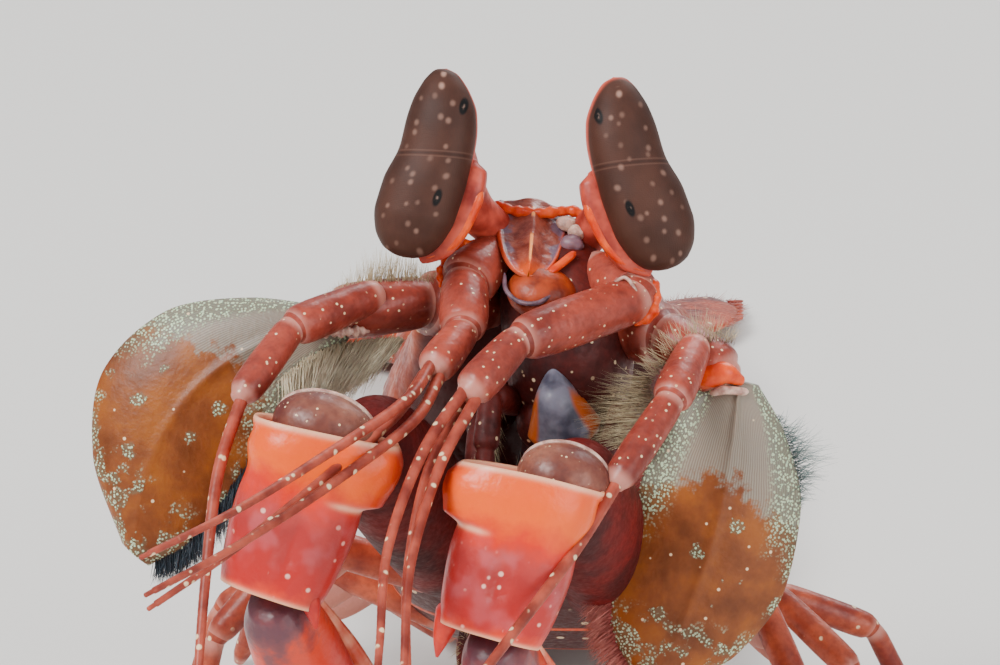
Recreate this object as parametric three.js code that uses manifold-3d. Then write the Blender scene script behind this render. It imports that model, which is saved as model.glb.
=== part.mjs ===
// A spearing mantis shrimp, life size, alert: the front of the body reared up, the claws folded
// before the chest, the belly and the tail fan on the ground. Millimetres, +Z up.
// The animal faces -Y. "left" and "right" in the names are the animal's own sides, and its
// left side is at +X. Places are given with the middle of the rostral plate 54 mm above ground.
import * as THREE from "three";
import { mergeVertices } from "three/addons/utils/BufferGeometryUtils.js";
import Module from "manifold-3d";

const wasm = await Module();
wasm.setup();

// Driving dimensions
const GAP = 0.3; // clearance between pieces that meet
const CARAPACE = 34; // length of the shield
const THORAX = 8; // each free segment of the thorax
const ABDOMEN = 14; // each of the first five segments of the abdomen
const SIXTH = 11; // the sixth segment of the abdomen
const TELSON = 18;
const FRONT = [-0.4, 1.2, 53.2]; // middle of the shield's front face
const REAR_UP = 58; // degrees that the shield leans up
const STRAIGHT = 24; // length of the shield before the back begins to bend
const LEVEL_AT = 79; // distance from the front where the back is level
const HEADING = 14; // degrees that the shield is turned from the +Y line
const TAIL_TURN = 14; // degrees that the tail turns further to the animal's right
const ORIGIN_SHIFT = [20.2, -47.1, 0]; // brings the origin under the middle of the whole

const V = (x, y, z) => new THREE.Vector3(x, y, z);
const at = (p) => V(p[0], p[1], p[2]);
const rad = THREE.MathUtils.degToRad;
const smooth = (t) => THREE.MathUtils.smoothstep(t, 0, 1);
const mix = THREE.MathUtils.lerp;

// The value at s of a table of [s, value] rows, with smooth steps between the rows.
function along(rows, s) {
  const next = rows.findIndex((row) => row[0] >= s);
  if (next <= 0) return rows[next < 0 ? rows.length - 1 : 0][1];
  const [s0, v0] = rows[next - 1];
  const [s1, v1] = rows[next];
  return mix(v0, v1, smooth((s - s0) / (s1 - s0)));
}

// Solids

function solidOf(geometry) {
  const g = geometry.index ? geometry.toNonIndexed() : geometry;
  const bare = new THREE.BufferGeometry();
  bare.setAttribute("position", g.getAttribute("position"));
  const merged = mergeVertices(bare, 1e-4);
  return new wasm.Manifold(
    new wasm.Mesh({
      numProp: 3,
      vertProperties: merged.attributes.position.array,
      triVerts: new Uint32Array(merged.index.array),
    }),
  );
}

function triangles(list) {
  const flat = new Float32Array(list.length * 3);
  list.forEach((p, i) => flat.set([p.x, p.y, p.z], i * 3));
  const geometry = new THREE.BufferGeometry();
  geometry.setAttribute("position", new THREE.BufferAttribute(flat, 3));
  const solid = solidOf(geometry);
  if (solid.volume() >= 0) return solid;
  const turned = [];
  for (let i = 0; i < list.length; i += 3) turned.push(list[i], list[i + 2], list[i + 1]);
  return triangles(turned);
}

// A closed solid through rings of the same number of points, with a fan over each end.
function loft(rings) {
  const list = [];
  const n = rings[0].length;
  for (let i = 0; i + 1 < rings.length; i++)
    for (let j = 0; j < n; j++) {
      const [a, b] = [rings[i][j], rings[i][(j + 1) % n]];
      const [c, d] = [rings[i + 1][j], rings[i + 1][(j + 1) % n]];
      list.push(a, b, d, a, d, c);
    }
  const cap = (ring, out) => {
    const middle = ring.reduce((sum, p) => sum.add(p), V(0, 0, 0)).divideScalar(n);
    for (let j = 0; j < n; j++) {
      const [p, q] = [ring[j], ring[(j + 1) % n]];
      if (out) list.push(p, q, middle);
      else list.push(q, p, middle);
    }
  };
  cap(rings[0], false);
  cap(rings[rings.length - 1], true);
  return triangles(list);
}

// A closed sheet between two grids of points of the same size, such as a plate or a fin.
function sheet(top, bottom) {
  const list = [];
  const [m, n] = [top.length, top[0].length];
  for (let i = 0; i + 1 < m; i++)
    for (let j = 0; j + 1 < n; j++) {
      list.push(top[i][j], top[i + 1][j], top[i + 1][j + 1]);
      list.push(top[i][j], top[i + 1][j + 1], top[i][j + 1]);
      list.push(bottom[i][j], bottom[i + 1][j + 1], bottom[i + 1][j]);
      list.push(bottom[i][j], bottom[i][j + 1], bottom[i + 1][j + 1]);
    }
  const edge = [];
  for (let j = 0; j < n; j++) edge.push([0, j]);
  for (let i = 1; i < m; i++) edge.push([i, n - 1]);
  for (let j = n - 2; j >= 0; j--) edge.push([m - 1, j]);
  for (let i = m - 2; i > 0; i--) edge.push([i, 0]);
  edge.forEach(([i, j], k) => {
    const [p, q] = edge[(k + 1) % edge.length];
    list.push(top[i][j], top[p][q], bottom[p][q]);
    list.push(top[i][j], bottom[p][q], bottom[i][j]);
  });
  return triangles(list);
}

// An ellipse, or a squarer form of it for a power above 2, round a middle point.
function ring(middle, side, up, a, b, count, power = 2, low = b) {
  const points = [];
  for (let i = 0; i < count; i++) {
    const angle = (2 * Math.PI * (i + 0.5)) / count;
    const [c, s] = [Math.cos(angle), Math.sin(angle)];
    const x = a * Math.sign(c) * Math.abs(c) ** (2 / power);
    const y = (s > 0 ? b : low) * Math.sign(s) * Math.abs(s) ** (2 / power);
    points.push(middle.clone().addScaledVector(side, x).addScaledVector(up, y));
  }
  return points;
}

// A tube through stations of { p, a, b }: a point and its half widths across and along "up".
function tube(stations, up, sides, grow = 0, power = 2) {
  const last = stations.length - 1;
  const rings = stations.map((station, i) => {
    const before = stations[Math.max(0, i - 1)].p;
    const after = stations[Math.min(last, i + 1)].p;
    const ahead = after.clone().sub(before).normalize();
    const side = ahead.clone().cross(up).normalize();
    const rise = side.clone().cross(ahead).normalize();
    const middle = station.p.clone();
    if (i === 0) middle.addScaledVector(ahead, -grow);
    if (i === last) middle.addScaledVector(ahead, grow);
    return ring(middle, side, rise, station.a + grow, station.b + grow, sides, power);
  });
  return loft(rings);
}

// A jointed limb: each stretch swells a little towards its far end and narrows at the joint.
const LIMB_FORM = [
  [0.06, 0.78],
  [0.3, 0.92],
  [0.84, 1.06],
  [0.97, 0.84],
];
function limb(joints, radii, up, sides, { flat = 1, grow = 0, form = LIMB_FORM } = {}) {
  const stations = [];
  for (let i = 0; i + 1 < joints.length; i++)
    for (const [t, size] of form) {
      const r = mix(radii[i], radii[i + 1], t) * size;
      stations.push({ p: joints[i].clone().lerp(joints[i + 1], t), a: r, b: r * flat });
    }
  return tube(stations, up, sides, grow);
}

// A feeler along a smooth curve, thinner towards its tip.
function feeler(points, thick, thin, steps, sides, grow = 0) {
  const curve = new THREE.CatmullRomCurve3(points, false, "centripetal");
  const stations = [];
  for (let i = 0; i <= steps; i++) {
    const t = i / steps;
    const tip = t > 0.97 ? 0.6 : 1;
    const r = (mix(thick, thin, t) / 2) * tip;
    stations.push({ p: curve.getPointAt(t), a: r, b: r });
  }
  return tube(stations, V(0.13, 0.11, 0.98).normalize(), sides, grow);
}

function ball(middle, radii, axes, grow = 0, across = 10, down = 7) {
  const geometry = new THREE.SphereGeometry(1, across, down);
  const turn = axes[0].clone().cross(axes[1]).dot(axes[2]) < 0 ? -1 : 1;
  const basis = new THREE.Matrix4().makeBasis(
    axes[0].clone().multiplyScalar(radii[0] + grow),
    axes[1].clone().multiplyScalar(radii[1] + grow),
    axes[2].clone().multiplyScalar((radii[2] + grow) * turn),
  );
  return solidOf(geometry.applyMatrix4(basis.setPosition(middle)));
}

const union = (...solids) => solids.reduce((whole, one) => whole.add(one));
const largest = (solid) =>
  solid.decompose().reduce((best, one) => (one.volume() > best.volume() ? one : best));

// The body's line, from the shield's front back to the tail's end

const STEP = 0.25;
const LENGTH = CARAPACE + 3 * THORAX + 5 * ABDOMEN + SIXTH + TELSON;
const bodyLine = [];
{
  const p = at(FRONT);
  for (let s = 0; s <= LENGTH + 4; s += STEP) {
    const pitch = rad(mix(REAR_UP, 0, smooth((s - STRAIGHT) / (LEVEL_AT - STRAIGHT))));
    const yaw = -rad(HEADING + TAIL_TURN * smooth((s - 46) / (LENGTH - 30)));
    const back = V(
      Math.sin(yaw) * Math.cos(pitch),
      Math.cos(yaw) * Math.cos(pitch),
      -Math.sin(pitch),
    );
    const up = V(Math.sin(yaw) * Math.sin(pitch), Math.cos(yaw) * Math.sin(pitch), Math.cos(pitch));
    bodyLine.push({ p: p.clone(), back, up, side: back.clone().cross(up) });
    p.addScaledVector(back, STEP);
  }
}
const bodyAt = (s) => bodyLine[Math.round(THREE.MathUtils.clamp(s, 0, LENGTH + 3.9) / STEP)];

// A point by its distance from the shield's front, across to +X, and up from the body's line.
function onBody(s, across, rise) {
  const f = bodyAt(s);
  return f.p.clone().addScaledVector(f.side, across).addScaledVector(f.up, rise);
}

const HALF_WIDTH = [
  [0, 3.6],
  [3, 5.6],
  [9, 9],
  [20, 12],
  [34, 12.8],
  [58, 12.4],
  [80, 14.2],
  [116, 15.4],
  [139, 13.6],
];
const RISE = [
  [0, 3.8],
  [10, 6],
  [30, 6.6],
  [58, 5.6],
  [116, 5.4],
  [139, 4.2],
];
const DEPTH = [
  [0, 0.9],
  [6, 1.6],
  [16, 6.4],
  [27, 7.2],
  [36, 5.6],
  [58, 4.2],
  [139, 3.4],
];

// One length of the body between s0 and s1, flared by a share of its size towards the rear edge.
function bodyPiece(s0, s1, flare, sides, steps, grow = 0) {
  const rings = [];
  for (let i = 0; i <= steps; i++) {
    const t = i / steps;
    const s = mix(s0 - grow, s1 + grow, t);
    const f = bodyAt(s);
    const size = 1 - flare * (1 - smooth(t * 1.15));
    rings.push(
      ring(
        f.p,
        f.side,
        f.up,
        along(HALF_WIDTH, s) * size + grow,
        along(RISE, s) * size + grow,
        sides,
        2.5,
        along(DEPTH, s) * size + grow,
      ),
    );
  }
  return loft(rings);
}

const SIDES = [
  ["right", -1],
  ["left", 1],
];
const parts = []; // each { name, look, make(grow), floor }, the first cut the later ones
const add = (name, look, make, floor = false) => parts.push({ name, look, make, floor });

const LOOKS = {
  shell: [0xa8523c, 0.4],
  eye: [0x4a3a33, 0.18],
  stalk: [0xb4564a, 0.35],
  limb: [0xa65045, 0.4],
  scale: [0x9a5a1e, 0.45],
  claw: [0xd0605c, 0.3],
  orange: [0xe87534, 0.3],
  mouth: [0x6d6470, 0.35],
};

// Rostral plate

const HEAD_AHEAD = V(0.24, -0.901, -0.363).normalize();
const HEAD_SIDE = V(0.939, 0.306, -0.14).normalize();
const HEAD_UP = HEAD_SIDE.clone().cross(HEAD_AHEAD).negate().normalize();
const PLATE = { rear: [-0.9, 3.4, 55.9], length: 7.8, half: 2.6, thick: 0.8, crown: 0.9 };

// The plate is a heart-shaped shield with a raised middle ridge that ends in a short point.
add("rostral_plate", "orange", (g) => {
  const [rows, columns] = [8, 9];
  const top = [];
  const bottom = [];
  for (let i = 0; i < rows; i++) {
    const t = i / (rows - 1);
    const half = PLATE.half * Math.max(0.07, Math.sqrt(Math.max(0, 1 - t ** 2.6))) + g;
    const [upper, lower] = [[], []];
    for (let j = 0; j < columns; j++) {
      const x = mix(-1, 1, j / (columns - 1));
      const ridge = 0.28 * Math.exp(-x * x * 30);
      const rise = PLATE.crown * (1 - x * x) * (1 - 0.5 * t) + ridge;
      const p = at(PLATE.rear)
        .addScaledVector(HEAD_AHEAD, t * (PLATE.length + 2 * g) - g)
        .addScaledVector(HEAD_SIDE, x * half);
      upper.push(p.clone().addScaledVector(HEAD_UP, rise + g));
      lower.push(p.clone().addScaledVector(HEAD_UP, rise - PLATE.thick - ridge * 0.5 - g));
    }
    top.push(upper);
    bottom.push(lower);
  }
  return sheet(top, bottom);
});

// Shield, thorax and abdomen

add("carapace", "shell", (g) => bodyPiece(GAP / 2, CARAPACE - GAP / 2, 0, 20, 9, g));

for (let i = 0; i < 3; i++) {
  const s0 = CARAPACE + i * THORAX;
  add(`thorax_${i + 6}`, "shell", (g) =>
    bodyPiece(s0 + GAP / 2, s0 + THORAX - GAP / 2, 0.06, 18, 3, g),
  );
}

// The swimming legs of one segment: a broad leaf on each side, swept back under the belly.
const LEAF = { length: 11, width: 8, thick: 1 };
function swimmingLeg(s, sign, grow) {
  const root = onBody(s + 4, sign * 6.5, -2.2);
  const f = bodyAt(s + 8);
  const tip = onBody(s + 4 + LEAF.length, sign * 8.5, 0).setZ(0.1);
  const ahead = tip.clone().sub(root).normalize();
  const rise = f.side.clone().cross(ahead).normalize();
  const form = [
    [0, 0.4, 1.5],
    [0.3, 0.9, 0.8],
    [0.62, 1, 0.62],
    [1, 0.45, 0.55],
  ];
  const rings = form.map(([t, wide, thick]) =>
    ring(
      root.clone().lerp(tip, t),
      f.side,
      rise,
      (wide * LEAF.width) / 2 + grow,
      (thick * LEAF.thick) / 2 + grow,
      8,
    ),
  );
  return loft(rings);
}

const ABDOMEN_START = CARAPACE + 3 * THORAX;
for (let i = 0; i < 5; i++) {
  const s0 = ABDOMEN_START + i * ABDOMEN;
  add(
    `abdomen_${i + 1}`,
    "shell",
    (g) =>
      union(
        bodyPiece(s0 + GAP / 2, s0 + ABDOMEN - GAP / 2, 0.07, 18, 4, g),
        swimmingLeg(s0, -1, g),
        swimmingLeg(s0, 1, g),
      ),
    true,
  );
}
const SIXTH_START = ABDOMEN_START + 5 * ABDOMEN;
add("abdomen_6", "shell", (g) =>
  bodyPiece(SIXTH_START + GAP / 2, SIXTH_START + SIXTH - GAP / 2, 0.05, 18, 3, g),
);

// Telson: a broad shield with a low keel and a toothed rear edge

const TELSON_START = SIXTH_START + SIXTH;
const TELSON_HALF = 14.6;
const TEETH = 4; // on each side of the middle notch
function telson(grow) {
  const [rows, columns] = [7, 4 * TEETH + 1];
  const top = [];
  const bottom = [];
  for (let i = 0; i < rows; i++) {
    const t = i / (rows - 1);
    const [upper, lower] = [[], []];
    for (let j = 0; j < columns; j++) {
      const x = mix(-1, 1, j / (columns - 1));
      const round = Math.sqrt(Math.max(0, 1 - 0.9 * x * x));
      const tooth = j % 2 ? 1.1 : 0;
      const notch = Math.abs(x) < 0.05 ? 1 : 0;
      const reach = (TELSON - 2.4) * mix(0.5, 1, round) + tooth - notch;
      const s = TELSON_START + GAP / 2 - grow + t * (reach + 2 * grow);
      const half = (TELSON_HALF + grow) * mix(0.9, 1, smooth(t * 2)) * mix(1, 0.84, t * t);
      const thick = mix(3.6, 0.7, smooth(t)) * Math.sqrt(1 - 0.75 * x * x);
      const keel = 0.8 * Math.exp(-x * x * 90) * (1 - t);
      const sag = -1.6 * x * x - 2.2 * t;
      upper.push(onBody(s, x * half, 0.6 + sag + thick / 2 + keel + grow));
      lower.push(onBody(s, x * half, 0.6 + sag - thick / 2 - grow));
    }
    top.push(upper);
    bottom.push(lower);
  }
  return sheet(top, bottom);
}
add("telson", "shell", telson);

// Uropods: on each side of the telson a stem, an outer blade and an inner blade

function blade(root, tip, wide, thick, up, grow, sides = 10) {
  const form = [
    [0, 0.42],
    [0.2, 0.8],
    [0.5, 1],
    [0.8, 0.84],
    [0.96, 0.42],
  ];
  const stations = form.map(([t, size]) => ({
    p: root.clone().lerp(tip, t),
    a: (wide / 2) * size,
    b: (thick / 2) * mix(1.5, 0.75, t),
  }));
  return tube(stations, up, sides, grow);
}

for (const [side, sign] of SIDES) {
  const low = (s, across, z) => onBody(s, sign * across, 0).setZ(z);
  add(
    `uropod_${side}`,
    "shell",
    (g) => {
      const up = V(0, 0, 1);
      const stem = limb(
        [onBody(TELSON_START - 6, sign * 10.2, -1.8), low(TELSON_START + 2.5, 15.6, 3.6)],
        [2.5, 2.3],
        up,
        8,
        { grow: g, form: [[0, 1], [0.5, 1.05], [1, 0.9]] },
      );
      const outer = blade(
        low(TELSON_START + 1, 15.6, 3.2),
        low(TELSON_START + 16.5, 22.4, 0.9),
        9.4,
        1.5,
        up,
        g,
      );
      const inner = blade(
        low(TELSON_START + 1, 14.6, 2.4),
        low(TELSON_START + 18.5, 14.4, 0.15),
        6.6,
        1.2,
        up,
        g,
      );
      return union(stem, outer, inner);
    },
    true,
  );
}

// Head: the block that carries the eyes and the feelers, and the mouth below it

// The upper lip, a pyramid below the feelers with the jaws' rounded backs beside it
add("mouth", "mouth", (g) => {
  const lip = tube(
    [
      { p: V(2.9, -3.0, 46.9), a: 0.8, b: 1.1 },
      { p: V(3.2, -4.0, 45.6), a: 1.7, b: 1.9 },
      { p: V(3.6, -4.6, 44.0), a: 2.5, b: 2.4 },
      { p: V(4.0, -4.4, 42.4), a: 2.8, b: 2.1 },
    ],
    HEAD_AHEAD,
    10,
    g,
  );
  const axes = [HEAD_SIDE, HEAD_AHEAD, HEAD_UP];
  const jaw = (x, y, z) => ball(V(x, y, z), [1.7, 1.9, 2.0], axes, g, 8, 6);
  return union(lip, jaw(1.6, -2.6, 41.8), jaw(5.4, -1.4, 41.2));
});

add("head", "limb", (g) => {
  const stations = [
    { p: V(0.5, 2.4, 53.8), a: 2.6, b: 1.3 },
    { p: V(1.4, 1.2, 51.6), a: 4.0, b: 3.2 },
    { p: V(2.2, 0.8, 48.8), a: 4.5, b: 4.7 },
    { p: V(2.7, 0.9, 46.0), a: 4.7, b: 5.3 },
    { p: V(2.6, 1.6, 42.6), a: 4.2, b: 4.8 },
    { p: V(1.6, 3.0, 39.6), a: 3.0, b: 3.0 },
  ];
  const brow = ball(V(1.9, -2.6, 51.6), [3.1, 2.3, 1.8], [HEAD_SIDE, HEAD_AHEAD, HEAD_UP], g);
  return union(tube(stations, HEAD_AHEAD, 12, g), brow);
});

// Eyes: a long two-lobed cornea set across the end of a widening stalk

// The share of the half width at each share of the eye's length, from the low end to the high.
const EYE_FORM = [
  [0, 0.3],
  [0.04, 0.52],
  [0.12, 0.76],
  [0.24, 0.91],
  [0.37, 0.93],
  [0.55, 0.84],
  [0.68, 0.82],
  [0.8, 0.74],
  [0.9, 0.54],
  [0.97, 0.3],
];
// How far the eye's middle line bends towards the other eye, which leaves an outer notch.
const EYE_BEND = [
  [0.1, 0],
  [0.37, 0.3],
  [0.58, 0.65],
  [0.8, 0.5],
  [1, 0],
];
const EYES = {
  right: { low: [-7.0, -7.4, 55.0], high: [-5.6, -1.9, 67.4], root: [-2.9, 1.2, 54.6] },
  left: { low: [10.6, -1.4, 54.0], high: [5.3, 2.6, 66.5], root: [3.2, 3.0, 54.2] },
};
const EYE_HALF = 3.15;
const EYE_DEEP = 2.7;
const VIEW_BACK = V(0.29, -0.894, 0.342); // the way that both corneas face
for (const [side, sign] of SIDES) {
  const eye = EYES[side];
  const [low, high] = [at(eye.low), at(eye.high)];
  const ahead = high.clone().sub(low).normalize();
  const face = VIEW_BACK.clone()
    .addScaledVector(V(1, 0.2, 0), sign * 0.22)
    .addScaledVector(ahead, -VIEW_BACK.dot(ahead))
    .normalize();
  const inwards = ahead.clone().cross(face).normalize();
  inwards.multiplyScalar(inwards.x * sign > 0 ? -1 : 1);
  add(`eye_${side}`, "eye", (g) =>
    tube(
      EYE_FORM.map(([t, size]) => ({
        p: low.clone().lerp(high, t).addScaledVector(inwards, along(EYE_BEND, t)),
        a: EYE_HALF * size,
        b: EYE_DEEP * size,
      })),
      face,
      14,
      g,
      2.2,
    ),
  );
  const middle = low.clone().lerp(high, 0.46).addScaledVector(face, -2.2);
  const root = at(eye.root);
  add(`eyestalk_${side}`, "stalk", (g) => {
    const form = [
      [-0.1, 1.5, 1.4],
      [0.25, 1.6, 1.5],
      [0.5, 2.0, 2.3],
      [0.75, 2.5, 3.9],
      [0.98, 2.7, 5.0],
    ];
    const axis = middle.clone().sub(root).normalize();
    const across = axis.clone().cross(ahead).normalize();
    const rings = form.map(([t, a, b], i) => {
      const shift = i === 0 ? -g : i === form.length - 1 ? g : 0;
      const p = root.clone().lerp(middle, t).addScaledVector(axis, shift);
      const rise = ahead.clone().addScaledVector(axis, -(1 - t) * ahead.dot(axis)).normalize();
      return ring(p, across, rise, a + g, b + g, 12);
    });
    return loft(rings);
  });
}

// Antennules: a stem of three joints and three feelers on each

const ANTENNULES = {
  right: {
    stem: [[-2.6, 0.6, 53.6], [-3.6, -4.0, 52.3], [-2.2, -8.6, 50.4], [-2.8, -13.4, 49.2]],
    radii: [1.75, 2.05, 1.5, 1.25],
    feelers: [
      [
        [-2.9, -13.3, 49.6], [-2.9, -19.2, 48.9], [-5.8, -27.4, 47.6],
        [-8.8, -35.6, 46.6], [-12.5, -42.8, 45.7],
      ],
      [
        [-2.2, -13.8, 48.8], [-2.3, -19.4, 47.5], [-5.3, -27.8, 45.7],
        [-8.5, -36.2, 44.4], [-12.0, -43.4, 43.4],
      ],
      [
        [-3.5, -13.3, 48.7], [-3.9, -18.8, 47.4], [-6.6, -26.8, 45.2],
        [-9.6, -34.8, 43.2], [-12.6, -41.6, 41.6],
      ],
    ],
  },
  left: {
    stem: [[4.6, 1.2, 52.7], [8.3, -1.6, 51.6], [2.4, -10.6, 50.9], [0.6, -15.6, 48.7]],
    radii: [1.7, 2.1, 1.5, 1.3],
    feelers: [
      [
        [0.3, -15.7, 48.9], [-0.7, -21.8, 46.4], [-0.6, -29.2, 42.4],
        [1.0, -35.4, 38.6], [2.6, -41.4, 34.8],
      ],
      [
        [1.1, -15.9, 48.3], [0.5, -21.8, 45.5], [0.8, -28.6, 41.3],
        [2.4, -34.6, 37.2], [4.2, -40.2, 33.2],
      ],
      [
        [0.2, -15.2, 47.9], [-0.7, -20.6, 44.6], [0.0, -27.0, 39.8],
        [1.9, -32.6, 35.2], [4.0, -37.6, 30.8],
      ],
    ],
  },
};
for (const [side] of SIDES) {
  const { stem, radii, feelers } = ANTENNULES[side];
  add(`antennule_${side}`, "limb", (g) =>
    limb(stem.map(at), radii, V(0.1, 0.5, 0.86), 10, { grow: g }),
  );
  feelers.forEach((points, i) =>
    add(`antennule_${side}_feeler_${i + 1}`, "limb", (g) =>
      feeler(points.map(at), 0.95, 0.56, 18, 6, g),
    ),
  );
}

// Antennae: a base, a broad oval scale hinged on it, and a jointed stem with one long feeler

const ANTENNAE = {
  right: {
    base: [[-3.4, 1.2, 48.6], [-7.2, -2.6, 50.0], [-12.4, -7.2, 50.2]],
    stem: [[-9.6, -6.6, 51.6], [-13.4, -13.0, 50.9], [-14.9, -19.0, 47.8]],
    feeler: [
      [-14.8, -18.6, 48.0], [-14.7, -24.0, 44.0], [-13.6, -29.4, 38.6],
      [-12.2, -35.0, 32.4], [-10.8, -40.4, 25.8],
    ],
    scale: {
      root: [-12.4, -7.0, 49.6],
      tip: [-24.2, -16.6, 33.8],
      across: [-14.6, 0.6, 11.2],
      bow: 4.2,
    },
  },
  left: {
    base: [[5.2, 2.6, 47.6], [10.0, 0.8, 48.2], [14.8, -0.6, 46.2]],
    stem: [[12.9, -2.2, 48.7], [12.9, -8.4, 46.9], [10.9, -14.8, 43.0]],
    feeler: [
      [11.1, -14.4, 43.3], [9.6, -20.4, 39.9], [7.4, -27.4, 36.4],
      [5.2, -34.6, 33.0], [2.6, -41.6, 29.2],
    ],
    scale: {
      root: [15.4, 0.0, 45.8],
      tip: [11.4, -7.0, 24.6],
      across: [13.2, 5.6, 2.2],
      bow: 1.2,
    },
  },
};
const SCALE = { half: 6.3, thick: 0.8, dish: 1.6 };
// The scale's half width at each share of its length.
const SCALE_FORM = [
  [0, 0.26],
  [0.12, 0.6],
  [0.35, 0.94],
  [0.6, 1],
  [0.85, 0.74],
  [1, 0.2],
];
for (const [side, sign] of SIDES) {
  const antenna = ANTENNAE[side];
  add(`antenna_base_${side}`, "limb", (g) =>
    limb(antenna.base.map(at), [2.4, 2.9, 2.2], V(0, 0.5, 0.86), 10, { grow: g, flat: 0.8 }),
  );
  add(`antennal_scale_${side}`, "scale", (g) => {
    const [root, tip] = [at(antenna.scale.root), at(antenna.scale.tip)];
    const ahead = tip.clone().sub(root).normalize();
    const across = at(antenna.scale.across);
    across.addScaledVector(ahead, -across.dot(ahead)).normalize();
    const up = across.clone().cross(ahead).normalize().multiplyScalar(-sign);
    const [rows, columns] = [11, 9];
    const top = [];
    const bottom = [];
    for (let i = 0; i < rows; i++) {
      const t = i / (rows - 1);
      const half = SCALE.half * along(SCALE_FORM, t) + g;
      const [upper, lower] = [[], []];
      for (let j = 0; j < columns; j++) {
        const x = mix(-1, 1, j / (columns - 1));
        const dish = SCALE.dish * (1 - x * x) * Math.sin(Math.PI * (0.15 + 0.7 * t));
        const thick = SCALE.thick * mix(1.5, 0.85, smooth(t * 3)) * mix(1, 0.72, x * x);
        const p = root
          .clone()
          .lerp(tip, t)
          .addScaledVector(ahead, (i === 0 ? -g : 0) + (i === rows - 1 ? g : 0))
          .addScaledVector(across, x * half + antenna.scale.bow * 4 * t * (1 - t))
          .addScaledVector(up, dish);
        upper.push(p.clone().addScaledVector(up, thick / 2 + g));
        lower.push(p.clone().addScaledVector(up, -thick / 2 - g));
      }
      top.push(upper);
      bottom.push(lower);
    }
    return sheet(top, bottom);
  });
  add(`antenna_stem_${side}`, "limb", (g) =>
    limb(antenna.stem.map(at), [1.5, 1.35, 1.05], V(0.1, 0.5, 0.86), 8, { grow: g }),
  );
  add(`antenna_feeler_${side}`, "limb", (g) =>
    feeler(antenna.feeler.map(at), 1.0, 0.56, 18, 6, g),
  );
}

// First maxillipeds: slim cleaning legs beside the mouth

const FIRST = {
  right: [[-0.6, -1.4, 42.6], [-1.2, -5.4, 44.6], [-0.9, -7.6, 41.2], [-0.4, -9.4, 38.2]],
  left: [[7.4, 0.6, 41.4], [7.8, -3.4, 43.4], [7.5, -5.8, 40.2], [6.9, -7.8, 37.4]],
};
for (const [side] of SIDES)
  add(`maxilliped_1_${side}`, "limb", (g) =>
    limb(FIRST[side].map(at), [1.2, 1.0, 0.85, 0.6], V(1, 0.1, 0), 8, { grow: g }),
  );

// Claws: the thick merus reaches forward and up to the knee, the short carpus hangs before it,
// the deep propodus folds back below, and the finger lies folded along the propodus's rear edge

const CLAWS = {
  right: {
    base: [-6.4, 4.8, 26.4],
    knee: [-6.6, -17.6, 45.6],
    top: [-7.9, -21.4, 47.0],
    wrist: [-10.6, -25.4, 36.2],
    foot: [-8.0, -9.4, 12.2],
  },
  left: {
    base: [6.2, 5.0, 25.6],
    knee: [7.2, -14.4, 42.8],
    top: [6.0, -18.2, 43.6],
    wrist: [4.2, -22.2, 33.8],
    foot: [5.4, -6.2, 11.0],
  },
};
// Rows of the share of the length, the half depths before and behind, and the half width.
const MERUS_FORM = [
  [-0.04, 2.2, 2.2, 1.9],
  [0.06, 3.2, 3.2, 2.8],
  [0.3, 4.4, 4.6, 3.8],
  [0.65, 4.7, 4.8, 4.1],
  [0.88, 4.2, 4.4, 3.7],
  [0.98, 3.0, 3.2, 2.5],
];
const CARPUS_FORM = [
  [-0.2, 1.2, 1.4, 2.0],
  [-0.1, 2.3, 2.4, 3.7],
  [0.1, 3.1, 3.0, 4.8],
  [0.42, 3.3, 3.1, 4.7],
  [0.78, 2.8, 2.8, 4.0],
  [1.0, 1.9, 2.2, 3.0],
];
const PROPODUS_FORM = [
  [0.02, 1.9, 1.8, 1.6],
  [0.08, 3.0, 2.6, 2.4],
  [0.28, 4.0, 3.2, 2.7],
  [0.6, 3.9, 3.1, 2.6],
  [0.88, 2.9, 2.7, 2.2],
  [0.98, 2.0, 2.1, 1.7],
];
const FINGER_ROOM = 4.9; // from the propodus's line back to the folded finger's line

// A length of claw from p to q, deeper towards "front" and behind as its form says.
function clawLength(p, q, front, form, sides, grow) {
  const ahead = q.clone().sub(p).normalize();
  const depth = front.clone().addScaledVector(ahead, -front.dot(ahead)).normalize();
  const side = ahead.clone().cross(depth).normalize();
  const rings = form.map(([t, fore, rear, half], i) => {
    const shift = i === 0 ? -grow : i === form.length - 1 ? grow : 0;
    const middle = p.clone().lerp(q, t).addScaledVector(ahead, shift);
    return ring(middle, side, depth, half + grow, fore + grow, sides, 2.2, rear + grow);
  });
  return loft(rings);
}

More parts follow.
